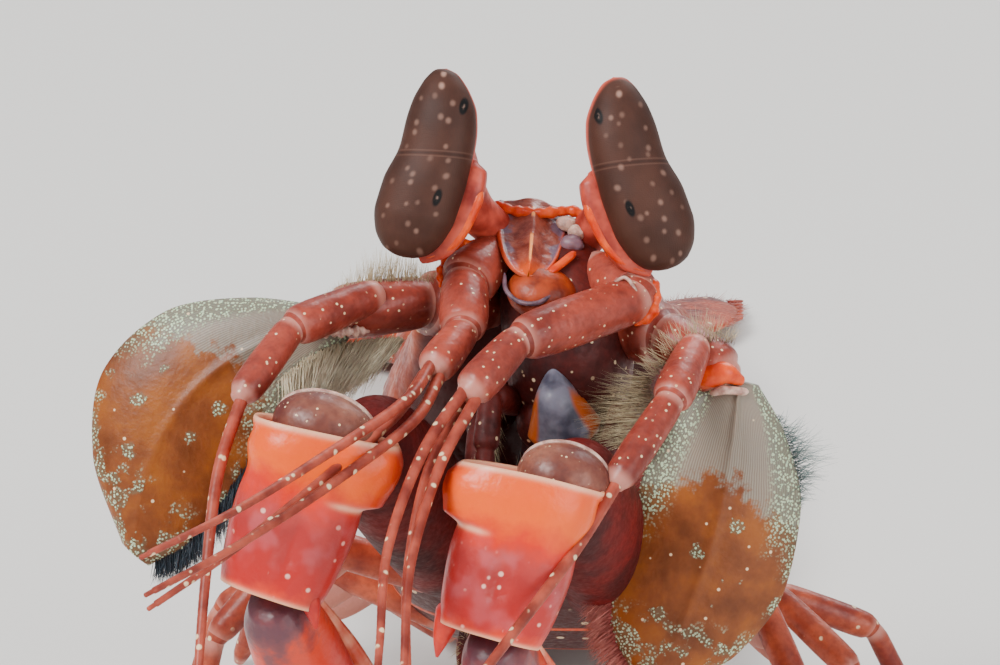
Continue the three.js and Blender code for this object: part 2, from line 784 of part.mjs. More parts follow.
for (const [side, sign] of SIDES) {
  const claw = CLAWS[side];
  const [base, knee, top, wrist, foot] = ["base", "knee", "top", "wrist", "foot"].map((k) =>
    at(claw[k]),
  );
  const hinge = V(1, 0, 0);
  add(`claw_carpus_${side}`, "orange", (g) => {
    const body = clawLength(top, wrist, V(0.29, -0.89, 0.34), CARPUS_FORM, 12, g);
    // The spine points down from the inner corner beside the wrist.
    const inner = wrist.clone().add(V(-sign * 2.6, 0.6, 2.0));
    const spine = tube(
      [
        { p: inner, a: 1.2, b: 1.2 },
        { p: inner.clone().add(V(-sign * 0.5, -0.3, -2.4)), a: 0.7, b: 0.7 },
        { p: inner.clone().add(V(-sign * 0.7, -0.4, -3.8)), a: 0.25, b: 0.25 },
      ],
      V(0, 1, 0),
      8,
      g,
    );
    return union(body, spine);
  });
  const drop = foot.clone().sub(wrist).normalize();
  const front = drop.clone().cross(hinge).normalize();
  add(`claw_propodus_${side}`, "claw", (g) =>
    clawLength(wrist, foot, front, PROPODUS_FORM, 12, g),
  );
  add(`claw_merus_${side}`, "claw", (g) => clawLength(base, knee, V(0, 1, 1), MERUS_FORM, 12, g));
  add(`claw_finger_${side}`, "orange", (g) => {
    const beside = (t, rear) => wrist.clone().lerp(foot, t).addScaledVector(front, -rear);
    return tube(
      [
        { p: beside(1.03, -1.0), a: 1.6, b: 1.5 },
        { p: beside(1.05, 2.2), a: 1.5, b: 1.7 },
        { p: beside(0.98, FINGER_ROOM - 0.3), a: 1.1, b: 1.6 },
        { p: beside(0.8, FINGER_ROOM + 0.1), a: 0.9, b: 1.35 },
        { p: beside(0.5, FINGER_ROOM), a: 0.75, b: 1.1 },
        { p: beside(0.24, FINGER_ROOM - 0.6), a: 0.35, b: 0.4 },
      ],
      hinge,
      8,
      g,
    );
  });
}

// Third to fifth maxillipeds: short folded limbs that end in round pads

const PAD = { half: 2.9, high: 2.6, thick: 0.9 };
const FOLDED = [
  { s: 13, root: -4.6, elbow: [0.1, -5.8, 0.6], pad: [-0.3, -7.4, -3.2] },
  { s: 19, root: -6.6, elbow: [0.1, -6.2, 0.2], pad: [-0.3, -7.8, -3.8] },
  { s: 25, root: -6.6, elbow: [0.1, -7.6, -0.4], pad: [-0.3, -9.0, -4.4] },
];
const CHEST_SIDE = 2.0; // how far the folded limbs stand from the middle of the chest
for (const [side, sign] of SIDES)
  FOLDED.forEach((fold, i) =>
    add(`maxilliped_${i + 3}_${side}`, "limb", (g) => {
      const root = onBody(fold.s, sign * CHEST_SIDE, fold.root);
      // A place beside the root, by its steps outwards, back and up.
      const place = ([x, y, z]) => root.clone().add(V(sign * x, y, z));
      const elbow = place(fold.elbow);
      const pad = place(fold.pad);
      const stem = limb([root, elbow, pad], [1.25, 1.1, 0.9], V(1, 0, 0), 8, { grow: g });
      const ahead = pad.clone().sub(elbow).normalize();
      const face = V(sign, 0.15, 0).normalize();
      const across = ahead.clone().cross(face).normalize();
      const axes = [across, face.clone().cross(across).normalize(), face];
      const middle = pad.clone().addScaledVector(ahead, 1.0);
      return union(stem, ball(middle, [PAD.high, PAD.half, PAD.thick], axes, g, 10, 6));
    }),
  );

// Walking legs: a long slim leg from each side of each free thorax segment, and a small
// paddle on its second joint

const FOOT_BELOW = -0.9; // the feet end below the ground, which trims them flat
const LEGS = [
  { knee: [9.0, -5.4, 4.6], shin: [14.6, -10.4, -2.6], foot: [17.6, -13.2] },
  { knee: [10.4, -2.2, 4.8], shin: [17.4, -4.4, 0.2], foot: [21.4, -5.6] },
  { knee: [10.0, 1.4, 4.6], shin: [17.2, 4.4, 1.2], foot: [21.4, 6.6] },
];
for (const [side, sign] of SIDES)
  LEGS.forEach((leg, i) =>
    add(
      `leg_${i + 1}_${side}`,
      "limb",
      (g) => {
        const s = CARAPACE + (i + 0.5) * THORAX;
        const root = onBody(s, sign * 8.6, -3.0);
        const place = ([x, y, z]) => root.clone().add(V(sign * x, y, z));
        const foot = place([leg.foot[0], leg.foot[1], 0]).setZ(FOOT_BELOW);
        const knee = place(leg.knee);
        const shin = place(leg.shin);
        const walk = limb([root, knee, shin, foot], [1.6, 1.3, 1.05, 0.8], V(0, 1, 0.05), 8, {
          grow: g,
        });
        const paddle = blade(
          root.clone().lerp(knee, 0.62),
          place([leg.knee[0] + 2.6, leg.knee[1] - 3.2, leg.knee[2] - 4.6]),
          3.0,
          0.9,
          V(0, 1, 0.2),
          g,
          8,
        );
        return union(walk, paddle);
      },
      true,
    ),
  );

// Fitting: each piece is cut clear of the pieces before it, and trimmed flat at the ground

const fitted = [];
const ground = solidOf(new THREE.BoxGeometry(400, 400, 20).translate(0, 0, -10));
const boxesMeet = (a, b) => a.min.every((low, i) => low < b.max[i] + GAP && b.min[i] < a.max[i] + GAP);

for (const part of parts) {
  let solid = part.make(0);
  if (part.floor) solid = solid.subtract(ground);
  for (const other of fitted) {
    if (!boxesMeet(solid.boundingBox(), other.box)) continue;
    if (solid.intersect(other.grown).volume() > 1e-4) solid = solid.subtract(other.grown);
  }
  const kept = largest(largest(solid).simplify(0.008));
  fitted.push({ part, solid: kept, grown: part.make(GAP), box: kept.boundingBox() });
}

const animal = new THREE.Group();
animal.position.fromArray(ORIGIN_SHIFT);
for (const { part, solid } of fitted) {
  const mesh = solid.getMesh();
  const geometry = new THREE.BufferGeometry();
  geometry.setAttribute("position", new THREE.BufferAttribute(mesh.vertProperties, 3));
  geometry.setIndex(new THREE.BufferAttribute(mesh.triVerts, 1));
  geometry.computeVertexNormals();
  const [color, roughness] = LOOKS[part.look];
  const material = new THREE.MeshStandardMaterial({ color, roughness, metalness: 0 });
  const piece = new THREE.Mesh(geometry, material);
  piece.name = part.name;
  animal.add(piece);
}

export default animal;
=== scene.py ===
import math
from itertools import product

import bpy
import numpy as np
from mathutils import Matrix, Vector


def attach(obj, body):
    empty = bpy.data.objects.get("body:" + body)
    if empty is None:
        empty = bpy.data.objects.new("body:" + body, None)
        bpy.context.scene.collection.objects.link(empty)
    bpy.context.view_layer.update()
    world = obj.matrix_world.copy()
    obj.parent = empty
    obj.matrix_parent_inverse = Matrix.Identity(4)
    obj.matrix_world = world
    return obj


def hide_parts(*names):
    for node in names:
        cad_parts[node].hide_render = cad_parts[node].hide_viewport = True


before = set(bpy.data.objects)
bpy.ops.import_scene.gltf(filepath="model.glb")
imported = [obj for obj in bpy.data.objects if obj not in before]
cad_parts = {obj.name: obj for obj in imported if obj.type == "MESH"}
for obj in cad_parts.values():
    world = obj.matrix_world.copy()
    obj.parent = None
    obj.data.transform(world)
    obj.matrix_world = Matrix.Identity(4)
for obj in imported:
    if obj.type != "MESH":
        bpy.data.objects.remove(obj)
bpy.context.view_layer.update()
MM = 0.001
SHIFT = np.array([20.2, -47.1, 0.0])
SIDES = (("right", -1), ("left", 1))
random = np.random.RandomState(7)


# Numbers and vectors

def vec(*numbers):
    return np.array(numbers, float)


def unit(v):
    v = np.asarray(v, float)
    return v / np.linalg.norm(v, axis=-1, keepdims=True)


def normal_to(a, b):
    """The direction square to two others."""
    return unit(np.cross(a, b))


def square_to(v, ahead):
    """A direction bent to stand square to another."""
    return unit(v - ahead * (v @ ahead))


def to_middle(v, sign):
    """A direction or its opposite, whichever points from a side to the animal's middle."""
    return -v if v[0] * sign > 0 else v


def smooth(t, low=0.0, high=1.0):
    t = np.clip((np.asarray(t, float) - low) / (high - low), 0, 1)
    return t * t * (3 - 2 * t)


def window(t, start, full, fading, end):
    """0 outside start and end, 1 from full to fading, and smooth between."""
    return smooth(t, start, full) * (1 - smooth(t, fading, end))


def hump(x, middle, width):
    """A soft hump, 1 high at the middle and almost nothing two widths away."""
    return np.exp(-(((x - middle) / width) ** 2))


def mix(a, b, t):
    return a + (b - a) * t


def steps(rows, s):
    """The value at s of a table of (s, value) rows, with smooth steps between the rows."""
    xs, vs = np.array(rows, float).T
    k = np.clip(np.searchsorted(xs, s, side="left"), 1, len(xs) - 1)
    return mix(vs[k - 1], vs[k], smooth((s - xs[k - 1]) / (xs[k] - xs[k - 1])))


def flow(rows, t):
    """A curve through rows of (t, values...) that never swings past them."""
    rows = np.asarray(rows, float)
    t = np.atleast_1d(np.asarray(t, float))
    x, y = rows[:, 0], rows[:, 1:]
    width = np.diff(x)[:, None]
    slope = np.diff(y, axis=0) / width
    tangent = np.zeros_like(y)
    same = slope[:-1] * slope[1:] > 0
    middle = 2 * slope[:-1] * slope[1:] / np.where(same, slope[:-1] + slope[1:], 1)
    tangent[1:-1] = np.where(same, middle, 0)
    tangent[0], tangent[-1] = slope[0], slope[-1]
    k = np.clip(np.searchsorted(x, t, side="right") - 1, 0, len(x) - 2)
    h = width[k]
    u = np.clip((t[:, None] - x[k][:, None]) / h, 0, 1)
    return (
        y[k] * (1 + 2 * u) * (1 - u) ** 2
        + tangent[k] * h * u * (1 - u) ** 2
        + y[k + 1] * u**2 * (3 - 2 * u)
        + tangent[k + 1] * h * u**2 * (u - 1)
    )


def spread(values, at):
    """Values spaced evenly from 0 to 1, read smoothly at other places."""
    places = np.arange(len(values)) / (len(values) - 1)
    return flow(np.column_stack([places, values]), at)


def distances(points):
    """How far each point lies along the line through all of them."""
    return np.concatenate([[0], np.cumsum(np.linalg.norm(np.diff(points, axis=0), axis=1))])


def read_line(at, far, points):
    """Places at some distances along a line whose points lie at the distances in "far"."""
    return np.stack([np.interp(at, far, column) for column in points.T], 1)


CURVE_STEPS = 24


def path_through(points, count):
    """Evenly spaced points on a smooth curve through the given ones."""
    p = np.asarray(points, float)
    p = np.vstack([2 * p[0] - p[1], p, 2 * p[-1] - p[-2]])
    u = np.linspace(0, 1, CURVE_STEPS, endpoint=False)[:, None]
    out = []
    for a, b, c, d in zip(p, p[1:], p[2:], p[3:]):
        bend = (2 * a - 5 * b + 4 * c - d) * u**2 + (3 * b - a - 3 * c + d) * u**3
        out.append(0.5 * (2 * b + (c - a) * u + bend))
    out = np.vstack(out + [p[-2:-1]])
    far = distances(out)
    return read_line(np.linspace(0, far[-1], count), far, out)


LATTICE = np.array([374761393, 668265263, 2147483647])
SCRAMBLE = 1274126177
SEED_STEP = 17.3


def lumps(points, size, seed=0):
    """Smooth noise between -1 and 1 with features of about the given size."""
    q = np.asarray(points, float) / size + seed * SEED_STEP
    base = np.floor(q).astype(np.int64)
    near = smooth(q - base)
    total = 0
    for corner in product((0, 1), repeat=3):
        n = (base + corner) @ LATTICE
        n = (n ^ (n >> 13)) * SCRAMBLE
        value = ((n ^ (n >> 16)) & 0xFFFF) / 32767.5 - 1
        share = np.where(corner, near, 1 - near)
        total = total + share[:, 0] * share[:, 1] * share[:, 2] * value
    return total


# Meshes

class Skin:
    """Points, faces and named numbers for each point."""

    def __init__(self, points, faces, **marks):
        self.points = np.asarray(points, float)
        self.faces = faces
        self.marks = marks

    def __add__(self, other):
        faces = [*self.faces, *[group + len(self.points) for group in other.faces]]
        marks = {}
        for key in {**self.marks, **other.marks}:
            parts = [skin.marks.get(key, np.zeros(len(skin.points))) for skin in (self, other)]
            marks[key] = np.concatenate(parts)
        return Skin(np.vstack([self.points, other.points]), faces, **marks)

    def normals(self):
        total = np.zeros_like(self.points)
        for group in self.faces:
            a, b, c = (self.points[group[:, k]] for k in range(3))
            n = np.cross(b - a, c - a)
            for k in range(group.shape[1]):
                np.add.at(total, group[:, k], n)
        return total / (np.linalg.norm(total, axis=1, keepdims=True) + 1e-12)

    def push(self, amount):
        self.points = self.points + self.normals() * np.asarray(amount)[:, None]
        return self


def turn_outwards(skin):
    """Flip the faces of a closed skin whose volume comes out negative."""
    volume = 0
    for group in skin.faces:
        a, *others = (skin.points[group[:, k]] for k in range(group.shape[1]))
        for b, c in zip(others, others[1:]):
            volume += np.einsum("ij,ij->i", a, np.cross(b, c)).sum()
    if volume < 0:
        skin.faces = [group[:, ::-1] for group in skin.faces]
    return skin


def ring_quads(rows, around):
    """Faces between rings of points that follow each other."""
    i, j = np.meshgrid(np.arange(rows - 1), np.arange(around), indexing="ij")
    a, b = i * around + j, i * around + (j + 1) % around
    return np.stack([a, b, b + around, a + around], -1).reshape(-1, 4)


def skin_rings(rings, **marks):
    """A closed skin over rings of points (rows, around, 3), with a fan over each end."""
    m, n, _ = rings.shape
    points = np.vstack([rings.reshape(-1, 3), rings[0].mean(0), rings[-1].mean(0)])
    k = np.arange(n)
    first = np.stack([(k + 1) % n, k, np.full(n, m * n)], 1)
    last = np.stack([k + (m - 1) * n, (k + 1) % n + (m - 1) * n, np.full(n, m * n + 1)], 1)
    full = {"along": np.repeat(np.linspace(0, 1, m), n), "around": np.tile(k / n, m)}
    full.update({key: np.asarray(value, float).reshape(-1) for key, value in marks.items()})
    full = {key: np.append(v, [v[:n].mean(), v[-n:].mean()]) for key, v in full.items()}
    return turn_outwards(Skin(points, [ring_quads(m, n), first, last], **full))


def ring_points(middle, side, up, a, b, count, power=2.0, low=None):
    """Rings of points round each middle, a wide, b high above it and "low" deep below it."""
    angle = 2 * np.pi * (np.arange(count) + 0.5) / count
    c, s = np.cos(angle), np.sin(angle)
    x = np.sign(c) * np.abs(c) ** (2 / power)
    y = np.sign(s) * np.abs(s) ** (2 / power)
    low = b if low is None else low
    a, b, low = (np.asarray(v)[:, None] for v in (a, b, low))
    side, up = (np.broadcast_to(v, middle.shape)[:, None] for v in (side, up))
    return middle[:, None] + side * (a * x)[..., None] + up * (np.where(s > 0, b, low) * y)[..., None]


CAP_ANGLES, CAP_DEPTH = (0.45, 0.85, 1.2), 0.7


def end_cap(ring, middle, out, half):
    """Shrinking copies of a tube's last ring that round its end."""
    spokes = ring - middle
    reach = half * CAP_DEPTH
    return np.array([middle + out * (math.sin(a) * reach) + spokes * math.cos(a) for a in CAP_ANGLES])


def tube_skin(points, a, b, up, sides, power=2.0, **marks):
    """A tube with round ends, with half widths a across and b along "up" at each of its points."""
    points = np.asarray(points, float)
    ahead = unit(np.gradient(points, axis=0))
    side = normal_to(ahead, np.broadcast_to(up, points.shape))
    rings = ring_points(points, side, np.cross(side, ahead), a, b, sides, power)
    first = end_cap(rings[0], points[0], -ahead[0], min(a[0], b[0]))
    last = end_cap(rings[-1], points[-1], ahead[-1], min(a[-1], b[-1]))
    rings = np.concatenate([first[::-1], rings, last])
    marks = {k: np.repeat(np.pad(v, len(CAP_ANGLES), mode="edge"), sides) for k, v in marks.items()}
    return skin_rings(rings, **marks)


def share_grid(rows, columns):
    """Shares along (0 to 1) and across (-1 to 1) of a plate's grid of points."""
    return np.meshgrid(np.linspace(0, 1, rows), np.linspace(-1, 1, columns), indexing="ij")


def plate_skin(top, bottom, **marks):
    """A closed skin between two grids of points that share their outline."""
    m, n, _ = top.shape
    i, j = np.meshgrid(np.arange(m - 1), np.arange(n - 1), indexing="ij")
    a = (i * n + j).reshape(-1)
    upper = np.stack([a, a + n, a + n + 1, a + 1], 1)
    lower = upper[:, ::-1] + m * n
    grid = np.arange(m * n).reshape(m, n)
    edge = np.concatenate([grid[0], grid[1:, -1], grid[-1, -2::-1], grid[-2:0:-1, 0]])
    after = np.roll(edge, -1)
    wall = np.stack([edge, after, after + m * n, edge + m * n], 1)
    points = np.vstack([top.reshape(-1, 3), bottom.reshape(-1, 3)])
    t, x = share_grid(m, n)
    full = {k: np.tile(v.reshape(-1), 2) for k, v in {"along": t, "across": x, **marks}.items()}
    return turn_outwards(Skin(points, [upper, lower, wall], **full))


def ellipse_tube(stations, up, sides=48, rows=60, **marks):
    """A tube through stations of (x, y, z, half across, half along up)."""
    stations = np.array(stations, float)
    far = distances(stations[:, :3])
    out = flow(np.column_stack([far / far[-1], stations]), np.linspace(0, 1, rows))
    return tube_skin(out[:, :3], out[:, 3], out[:, 4], up, sides, **marks)


POLE = 0.02


def ball_skin(middle, radii, axes, sides=32, rows=20):
    """An ellipsoid with its poles on the third axis."""
    angle = np.linspace(POLE, math.pi - POLE, rows)
    size = np.sin(angle)
    place = np.asarray(middle) + np.outer(np.cos(angle) * radii[2], axes[2])
    return skin_rings(ring_points(place, axes[0], axes[1], size * radii[0], size * radii[1], sides))


def put(name, skin, material, nodes=()):
    """Make the Blender piece of a skin, riding on the body in place of the named solids."""
    mesh = bpy.data.meshes.new(name)
    points = (skin.points + SHIFT) * MM
    mesh.vertices.add(len(points))
    mesh.vertices.foreach_set("co", points.astype(np.float32).reshape(-1))
    loops = np.concatenate([group.reshape(-1) for group in skin.faces])
    sizes = np.concatenate([np.full(len(group), group.shape[1]) for group in skin.faces])
    starts = np.concatenate([[0], np.cumsum(sizes)[:-1]])
    mesh.loops.add(len(loops))
    mesh.loops.foreach_set("vertex_index", loops.astype(np.int32))
    mesh.polygons.add(len(sizes))
    mesh.polygons.foreach_set("loop_start", starts.astype(np.int32))
    mesh.polygons.foreach_set("loop_total", sizes.astype(np.int32))
    mesh.update(calc_edges=True)
    mesh.validate()
    mesh.shade_smooth()
    if "u" in skin.marks:
        flat = np.stack([skin.marks.pop("u"), skin.marks.pop("v")], 1)[loops]
        mesh.uv_layers.new(name="OFBake").uv.foreach_set("vector", flat.astype(np.float32).reshape(-1))
    for key, values in skin.marks.items():
        mark = mesh.attributes.new(key, "FLOAT", "POINT")
        mark.data.foreach_set("value", np.asarray(values, np.float32))
    piece = bpy.data.objects.new(name, mesh)
    bpy.context.scene.collection.objects.link(piece)
    mesh.materials.append(material)
    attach(piece, "root")
    if nodes:
        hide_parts(*nodes)


def dress(node, skin, material, ending="shell"):
    """Put a piece that takes the place of one solid and carries its name."""
    put(f"{node}_{ending}", skin, material, [node])


# Materials

FLESH_RADIUS = (1.0, 0.35, 0.2)


class Paint:
    """A small helper that builds one procedural material round a running colour."""

    def __init__(self, name):
        self.material = bpy.data.materials.new(name)
        self.material.use_nodes = True
        self.tree = self.material.node_tree
        self.place = self.tree.nodes.new("ShaderNodeTexCoord").outputs["Object"]
        self.colour = None

    def fill(self, node, inputs):
        """Link or set the inputs of a node, and leave out those that are None."""
        for socket, value in inputs.items():
            target = node.inputs[socket]
            if isinstance(value, bpy.types.NodeSocket):
                self.tree.links.new(value, target)
            elif isinstance(value, tuple):
                target.default_value = (*value, 1.0)[: len(target.default_value)]
            elif value is not None:
                target.default_value = value

    def add(self, kind, inputs, output=0, **settings):
        """Add a node with its settings and inputs, and return one of its outputs."""
        node = self.tree.nodes.new("ShaderNode" + kind)
        for key, value in settings.items():
            setattr(node, key, value)
        self.fill(node, inputs)
        return node.outputs[output]

    def noise(self, size, detail=2.0, rough=0.5):
        inputs = {"Vector": self.place, "Scale": 1 / (size * MM), "Detail": detail, "Roughness": rough}
        return self.add("TexNoise", inputs, "Fac")

    def cells(self, size, jitter=1.0):
        inputs = {"Vector": self.place, "Scale": 1 / (size * MM), "Randomness": jitter}
        return self.add("TexVoronoi", inputs, "Distance")

    def mark(self, name):
        return self.add("Attribute", {}, "Fac", attribute_name=name)

    def math(self, operation, a, b=0.0):
        return self.add("Math", {0: a, 1: b}, operation=operation)

    def plus(self, a, b):
        return self.math("ADD", a, b)

    def minus(self, a, b):
        return self.math("SUBTRACT", a, b)

    def times(self, a, b):
        return self.math("MULTIPLY", a, b)

    def larger(self, a, b):
        return self.math("MAXIMUM", a, b)

    def absolute(self, a):
        return self.math("ABSOLUTE", a)

    def span(self, value, low, high, to_low=0.0, to_high=1.0):
        inputs = {"Value": value, "From Min": low, "From Max": high, "To Min": to_low, "To Max": to_high}
        return self.add("MapRange", inputs, "Result", interpolation_type="SMOOTHSTEP")

    def ramp(self, value, *stops):
        """Start the running colour from stops of (place, colour) along a value."""
        node = self.tree.nodes.new("ShaderNodeValToRGB")
        elements = node.color_ramp.elements
        while len(elements) < len(stops):
            elements.new(0.5)
        for element, (place, colour) in zip(elements, stops):
            element.position = place
            element.color = (*colour, 1.0)
        self.fill(node, {"Fac": value})
        self.colour = node.outputs["Color"]

    def clouds(self, noise, dark, light, low=0.3):
        """Start the running colour from two that run into each other in soft clouds."""
        self.ramp(self.span(noise, low, 1 - low), (0, dark), (1, light))

    def cover(self, amount, colour):
        """Lay a colour over the running one."""
        inputs = {0: amount, 6: self.colour, 7: colour}
        self.colour = self.add("Mix", inputs, 2, data_type="RGBA")

    def relief(self, height, distance, under=None):
        inputs = {"Strength": 1.0, "Distance": distance * MM, "Height": height, "Normal": under}
        return self.add("Bump", inputs, "Normal")

    def finish(self, rough, relief=None, glow=0.0, depth=1.0, coat=0.0, coat_rough=0.15, ior=1.36):
        inputs = {
            "Base Color": self.colour,
            "Roughness": rough,
            "Normal": relief,
            "Subsurface Weight": glow,
            "Subsurface Radius": FLESH_RADIUS,
            "Subsurface Scale": depth * MM,
            "Coat Weight": coat,
            "Coat Roughness": coat_rough,
            "IOR": ior,
        }
        self.fill(self.tree.nodes["Principled BSDF"], inputs)
        return self.material


DEEPER = 1.3


def tint(r, g, b):
    """A colour from 0 to 255 as it looks on screen, made a little deeper to stand the studio light."""
    linear = [v / 255 / 12.92 if v < 10 else ((v / 255 + 0.055) / 1.055) ** 2.4 for v in (r, g, b)]
    return tuple(v**DEEPER for v in linear)


CREAM = tint(238, 214, 180)
ORANGE = tint(232, 104, 44)
# Painted shade: a dark red-brown for the underside of the body, which is turned away from the light
UNDERSIDE_SHADE = tint(92, 34, 30)
JOINT_SKIN = tint(214, 160, 146)
LIP_PINK = tint(250, 190, 160)
MOTTLED, GRAIN_SHADE = 0.32, 0.55


def shell_paint(
    name, dark, light, dots=0.0, rear=None, glow=0.35, depth=1.2, joints=False, rough=0.4, coat=0.08
):
    """Wet shell: mottled colour, fine pits, pale dots, and a rim colour towards the rear edge."""
    p = Paint(name)
    cloud = p.noise(5.0, 4.0, 0.6)
    p.clouds(cloud, dark, light, MOTTLED)
    grain = p.noise(0.5, 3.0, 0.6)
    p.cover(p.span(grain, 0.35, 0.75, 0.0, 0.35), tuple(v * GRAIN_SHADE for v in dark))
    # Painted shade: the underside of the body is covered with a dark red-brown
    p.cover(p.mark("below"), UNDERSIDE_SHADE)
    if rear:
        p.cover(p.times(p.span(p.mark("along"), 0.88, 0.95), p.span(cloud, 0.2, 0.45)), rear)
    if joints:
        near = p.absolute(p.minus(p.mark("joint"), 0.5))
        p.cover(p.span(near, 0.4, 0.49, 0.0, 0.7), JOINT_SKIN)
    if dots:
        spot = p.span(p.cells(dots), 0.20, 0.13)
        chance = p.span(p.noise(dots * 1.7, 1.0), 0.46, 0.54)
        p.cover(p.times(spot, chance), CREAM)
    pits = p.relief(p.span(p.cells(0.5), 0.0, 0.5), 0.012)
    gloss = p.span(grain, 0.3, 0.7, rough - 0.08, rough + 0.12)
    return p.finish(gloss, p.relief(p.noise(1.6, 3.0), 0.16, pits), glow, depth, coat)


def plain_paint(name, dark, light, size, rough=0.4, depth=0.6):
    """Two colours that run into each other, for rims, other plain parts and a violet painted shadow."""
    p = Paint(name)
    p.clouds(p.noise(size, 3.0), dark, light, MOTTLED)
    return p.finish(rough, p.relief(p.noise(size / 3, 2.0), 0.05), 0.4, depth)


LIMB_LOOK = dict(glow=0.4, depth=0.7, joints=True)
BODY = shell_paint("body_shell", tint(142, 58, 40), tint(198, 106, 62), 1.9, ORANGE)
LIMB = shell_paint("limb_shell", tint(138, 66, 56), tint(188, 100, 82), 0.6, **LIMB_LOOK)
LEG = shell_paint("leg_shell", tint(146, 66, 54), tint(206, 116, 84), 1.2, **LIMB_LOOK)
# A darker copy of the limb shell: the limbs' own red darkened as painted shade, for the head, jaws and mouth
# limbs under the head
SHADED_LIMB = shell_paint(
    "shaded_limb_shell", tint(74, 26, 26), tint(122, 50, 42), 0.9, glow=0.3, depth=0.7, rough=0.55, coat=0.0
)
STALK = plain_paint("stalk_shell", tint(150, 60, 52), tint(216, 112, 92), 2.0, depth=0.8)
RIM = plain_paint("orange_rim", tint(210, 72, 26), tint(238, 114, 52), 1.2, 0.3)
BLUE_RIM = plain_paint("blue_rim", tint(92, 72, 84), tint(136, 112, 122), 1.0)
PALE = plain_paint("pale_shell", tint(176, 140, 130), tint(226, 196, 180), 0.6)
# Painted shadow: a violet-grey for the shade beside the rostral plate
VIOLET_SHADOW = plain_paint("violet_shadow", tint(108, 84, 98), tint(160, 132, 140), 1.4, 0.35)


# Hairs

HAIR_SIDES, HAIR_ROWS = 3, 5
HAIR_TAPER = 0.85
OFF_AXIS = vec(0.31, 0.22, 0.93)
PATCH, UV_SHARE = 0.003, 0.99
FRINGE_STEPS = 200
SHORTEST, LONGEST, HAIR_SWAY = 0.7, 1.05, 0.08


def hairs(roots, aims, lengths, width, bend):
    """Thin tapering hairs that start at the roots and curve towards "bend"."""
    aims = unit(aims)
    count = len(roots)
    t = np.linspace(0, 1, HAIR_ROWS)
    reach = lengths[:, None] * t
    middle = roots[:, None] + aims[:, None] * reach[..., None]
    middle = middle + bend[:, None] * (reach * t)[..., None]
    side = normal_to(aims, OFF_AXIS)
    other = np.cross(aims, side)
    angle = 2 * np.pi * np.arange(HAIR_SIDES) / HAIR_SIDES
    ring = side[:, None] * np.cos(angle)[:, None] + other[:, None] * np.sin(angle)[:, None]
    radius = width / 2 * (1 - HAIR_TAPER * t**1.5)
    points = middle[:, :, None] + ring[:, None] * radius[:, None, None]
    place = (roots - roots.min(0)) / (np.ptp(roots, axis=0).max() + 1e-6)
    grid = np.zeros((count, HAIR_ROWS, HAIR_SIDES))
    u = grid + place[:, :1, None] + PATCH * np.arange(HAIR_SIDES) / HAIR_SIDES
    v = grid + place[:, 1:].mean(1)[:, None, None] + PATCH * t[:, None]
    marks = {"along": grid + t[:, None], "u": u * UV_SHARE, "v": v * UV_SHARE}
    return Skin(points.reshape(-1, 3), hair_faces(count), **{k: m.reshape(-1) for k, m in marks.items()})


def hair_faces(count):
    quads = ring_quads(HAIR_ROWS, HAIR_SIDES)
    size = HAIR_ROWS * HAIR_SIDES
    first = (np.arange(count) * size)[:, None, None]
    caps = np.array([[2, 1, 0], [size - 3, size - 2, size - 1]])
    return [(first + quads).reshape(-1, 4), (first + caps).reshape(-1, 3)]


def fringe(path, aims, length, count, width, bend=(0, 0, 0), loose=0.12, depth=0.25):
    """Hairs in a row along a path, with their aim and length changing from its start to its end."""
    at = np.sort(random.uniform(0, 1, count))
    place = read_line(at, np.linspace(0, 1, FRINGE_STEPS), path_through(path, FRINGE_STEPS))
    place = place + random.normal(0, depth, (count, 3)) * 0.5
    aims = unit(spread(aims, at)) + random.normal(0, loose, (count, 3))
    sizes = spread(length, at)[:, 0] * random.uniform(SHORTEST, LONGEST, count)
    return hairs(place, aims, sizes, width, bend + random.normal(0, HAIR_SWAY, (count, 3)))


def hair_paint(name, root, tip):
    p = Paint(name)
    p.ramp(p.mark("along"), (0, root), (0.45, tip), (1, tip))
    p.cover(p.span(p.noise(0.6), 0.35, 0.65, 0.0, 0.4), root)
    return p.finish(0.5, None, 0.1, 0.3)


PALE_HAIR = hair_paint("pale_hair", tint(118, 96, 78), tint(212, 196, 164))
GREY_HAIR = hair_paint("grey_hair", tint(190, 176, 152), tint(226, 216, 194))
DARK_HAIR = hair_paint("dark_hair", tint(36, 42, 52), tint(86, 98, 108))
TEAL_HAIR = hair_paint("teal_hair", tint(58, 78, 78), tint(124, 150, 146))
PINK_HAIR = hair_paint("pink_hair", tint(148, 70, 66), tint(206, 138, 128))


# The body's line, from the shield's front back to the tail's end

CARAPACE, THORAX, ABDOMEN, SIXTH, TELSON = 34, 8, 14, 11, 18
ABDOMEN_START = CARAPACE + 3 * THORAX
SIXTH_START = ABDOMEN_START + 5 * ABDOMEN
TELSON_START = SIXTH_START + SIXTH
LENGTH = TELSON_START + TELSON
FRONT = vec(-0.4, 1.2, 53.2)
REAR_UP, STRAIGHT, LEVEL_AT = 58, 24, 79
HEADING, TAIL_TURN, TURN_FROM, TURN_OVER = 14, 14, 46, LENGTH - 30
STEP = 0.25


def body_line():
    s = np.arange(0, LENGTH + 4.01, STEP)
    pitch = np.radians(mix(REAR_UP, 0, smooth((s - STRAIGHT) / (LEVEL_AT - STRAIGHT))))
    yaw = -np.radians(HEADING + TAIL_TURN * smooth((s - TURN_FROM) / TURN_OVER))
    back = np.stack([np.sin(yaw) * np.cos(pitch), np.cos(yaw) * np.cos(pitch), -np.sin(pitch)], 1)
    up = np.stack([np.sin(yaw) * np.sin(pitch), np.cos(yaw) * np.sin(pitch), np.cos(pitch)], 1)
    place = FRONT + np.vstack([np.zeros(3), np.cumsum(back[:-1] * STEP, axis=0)])
    return s, place, back, up, np.cross(back, up)


LINE = body_line()


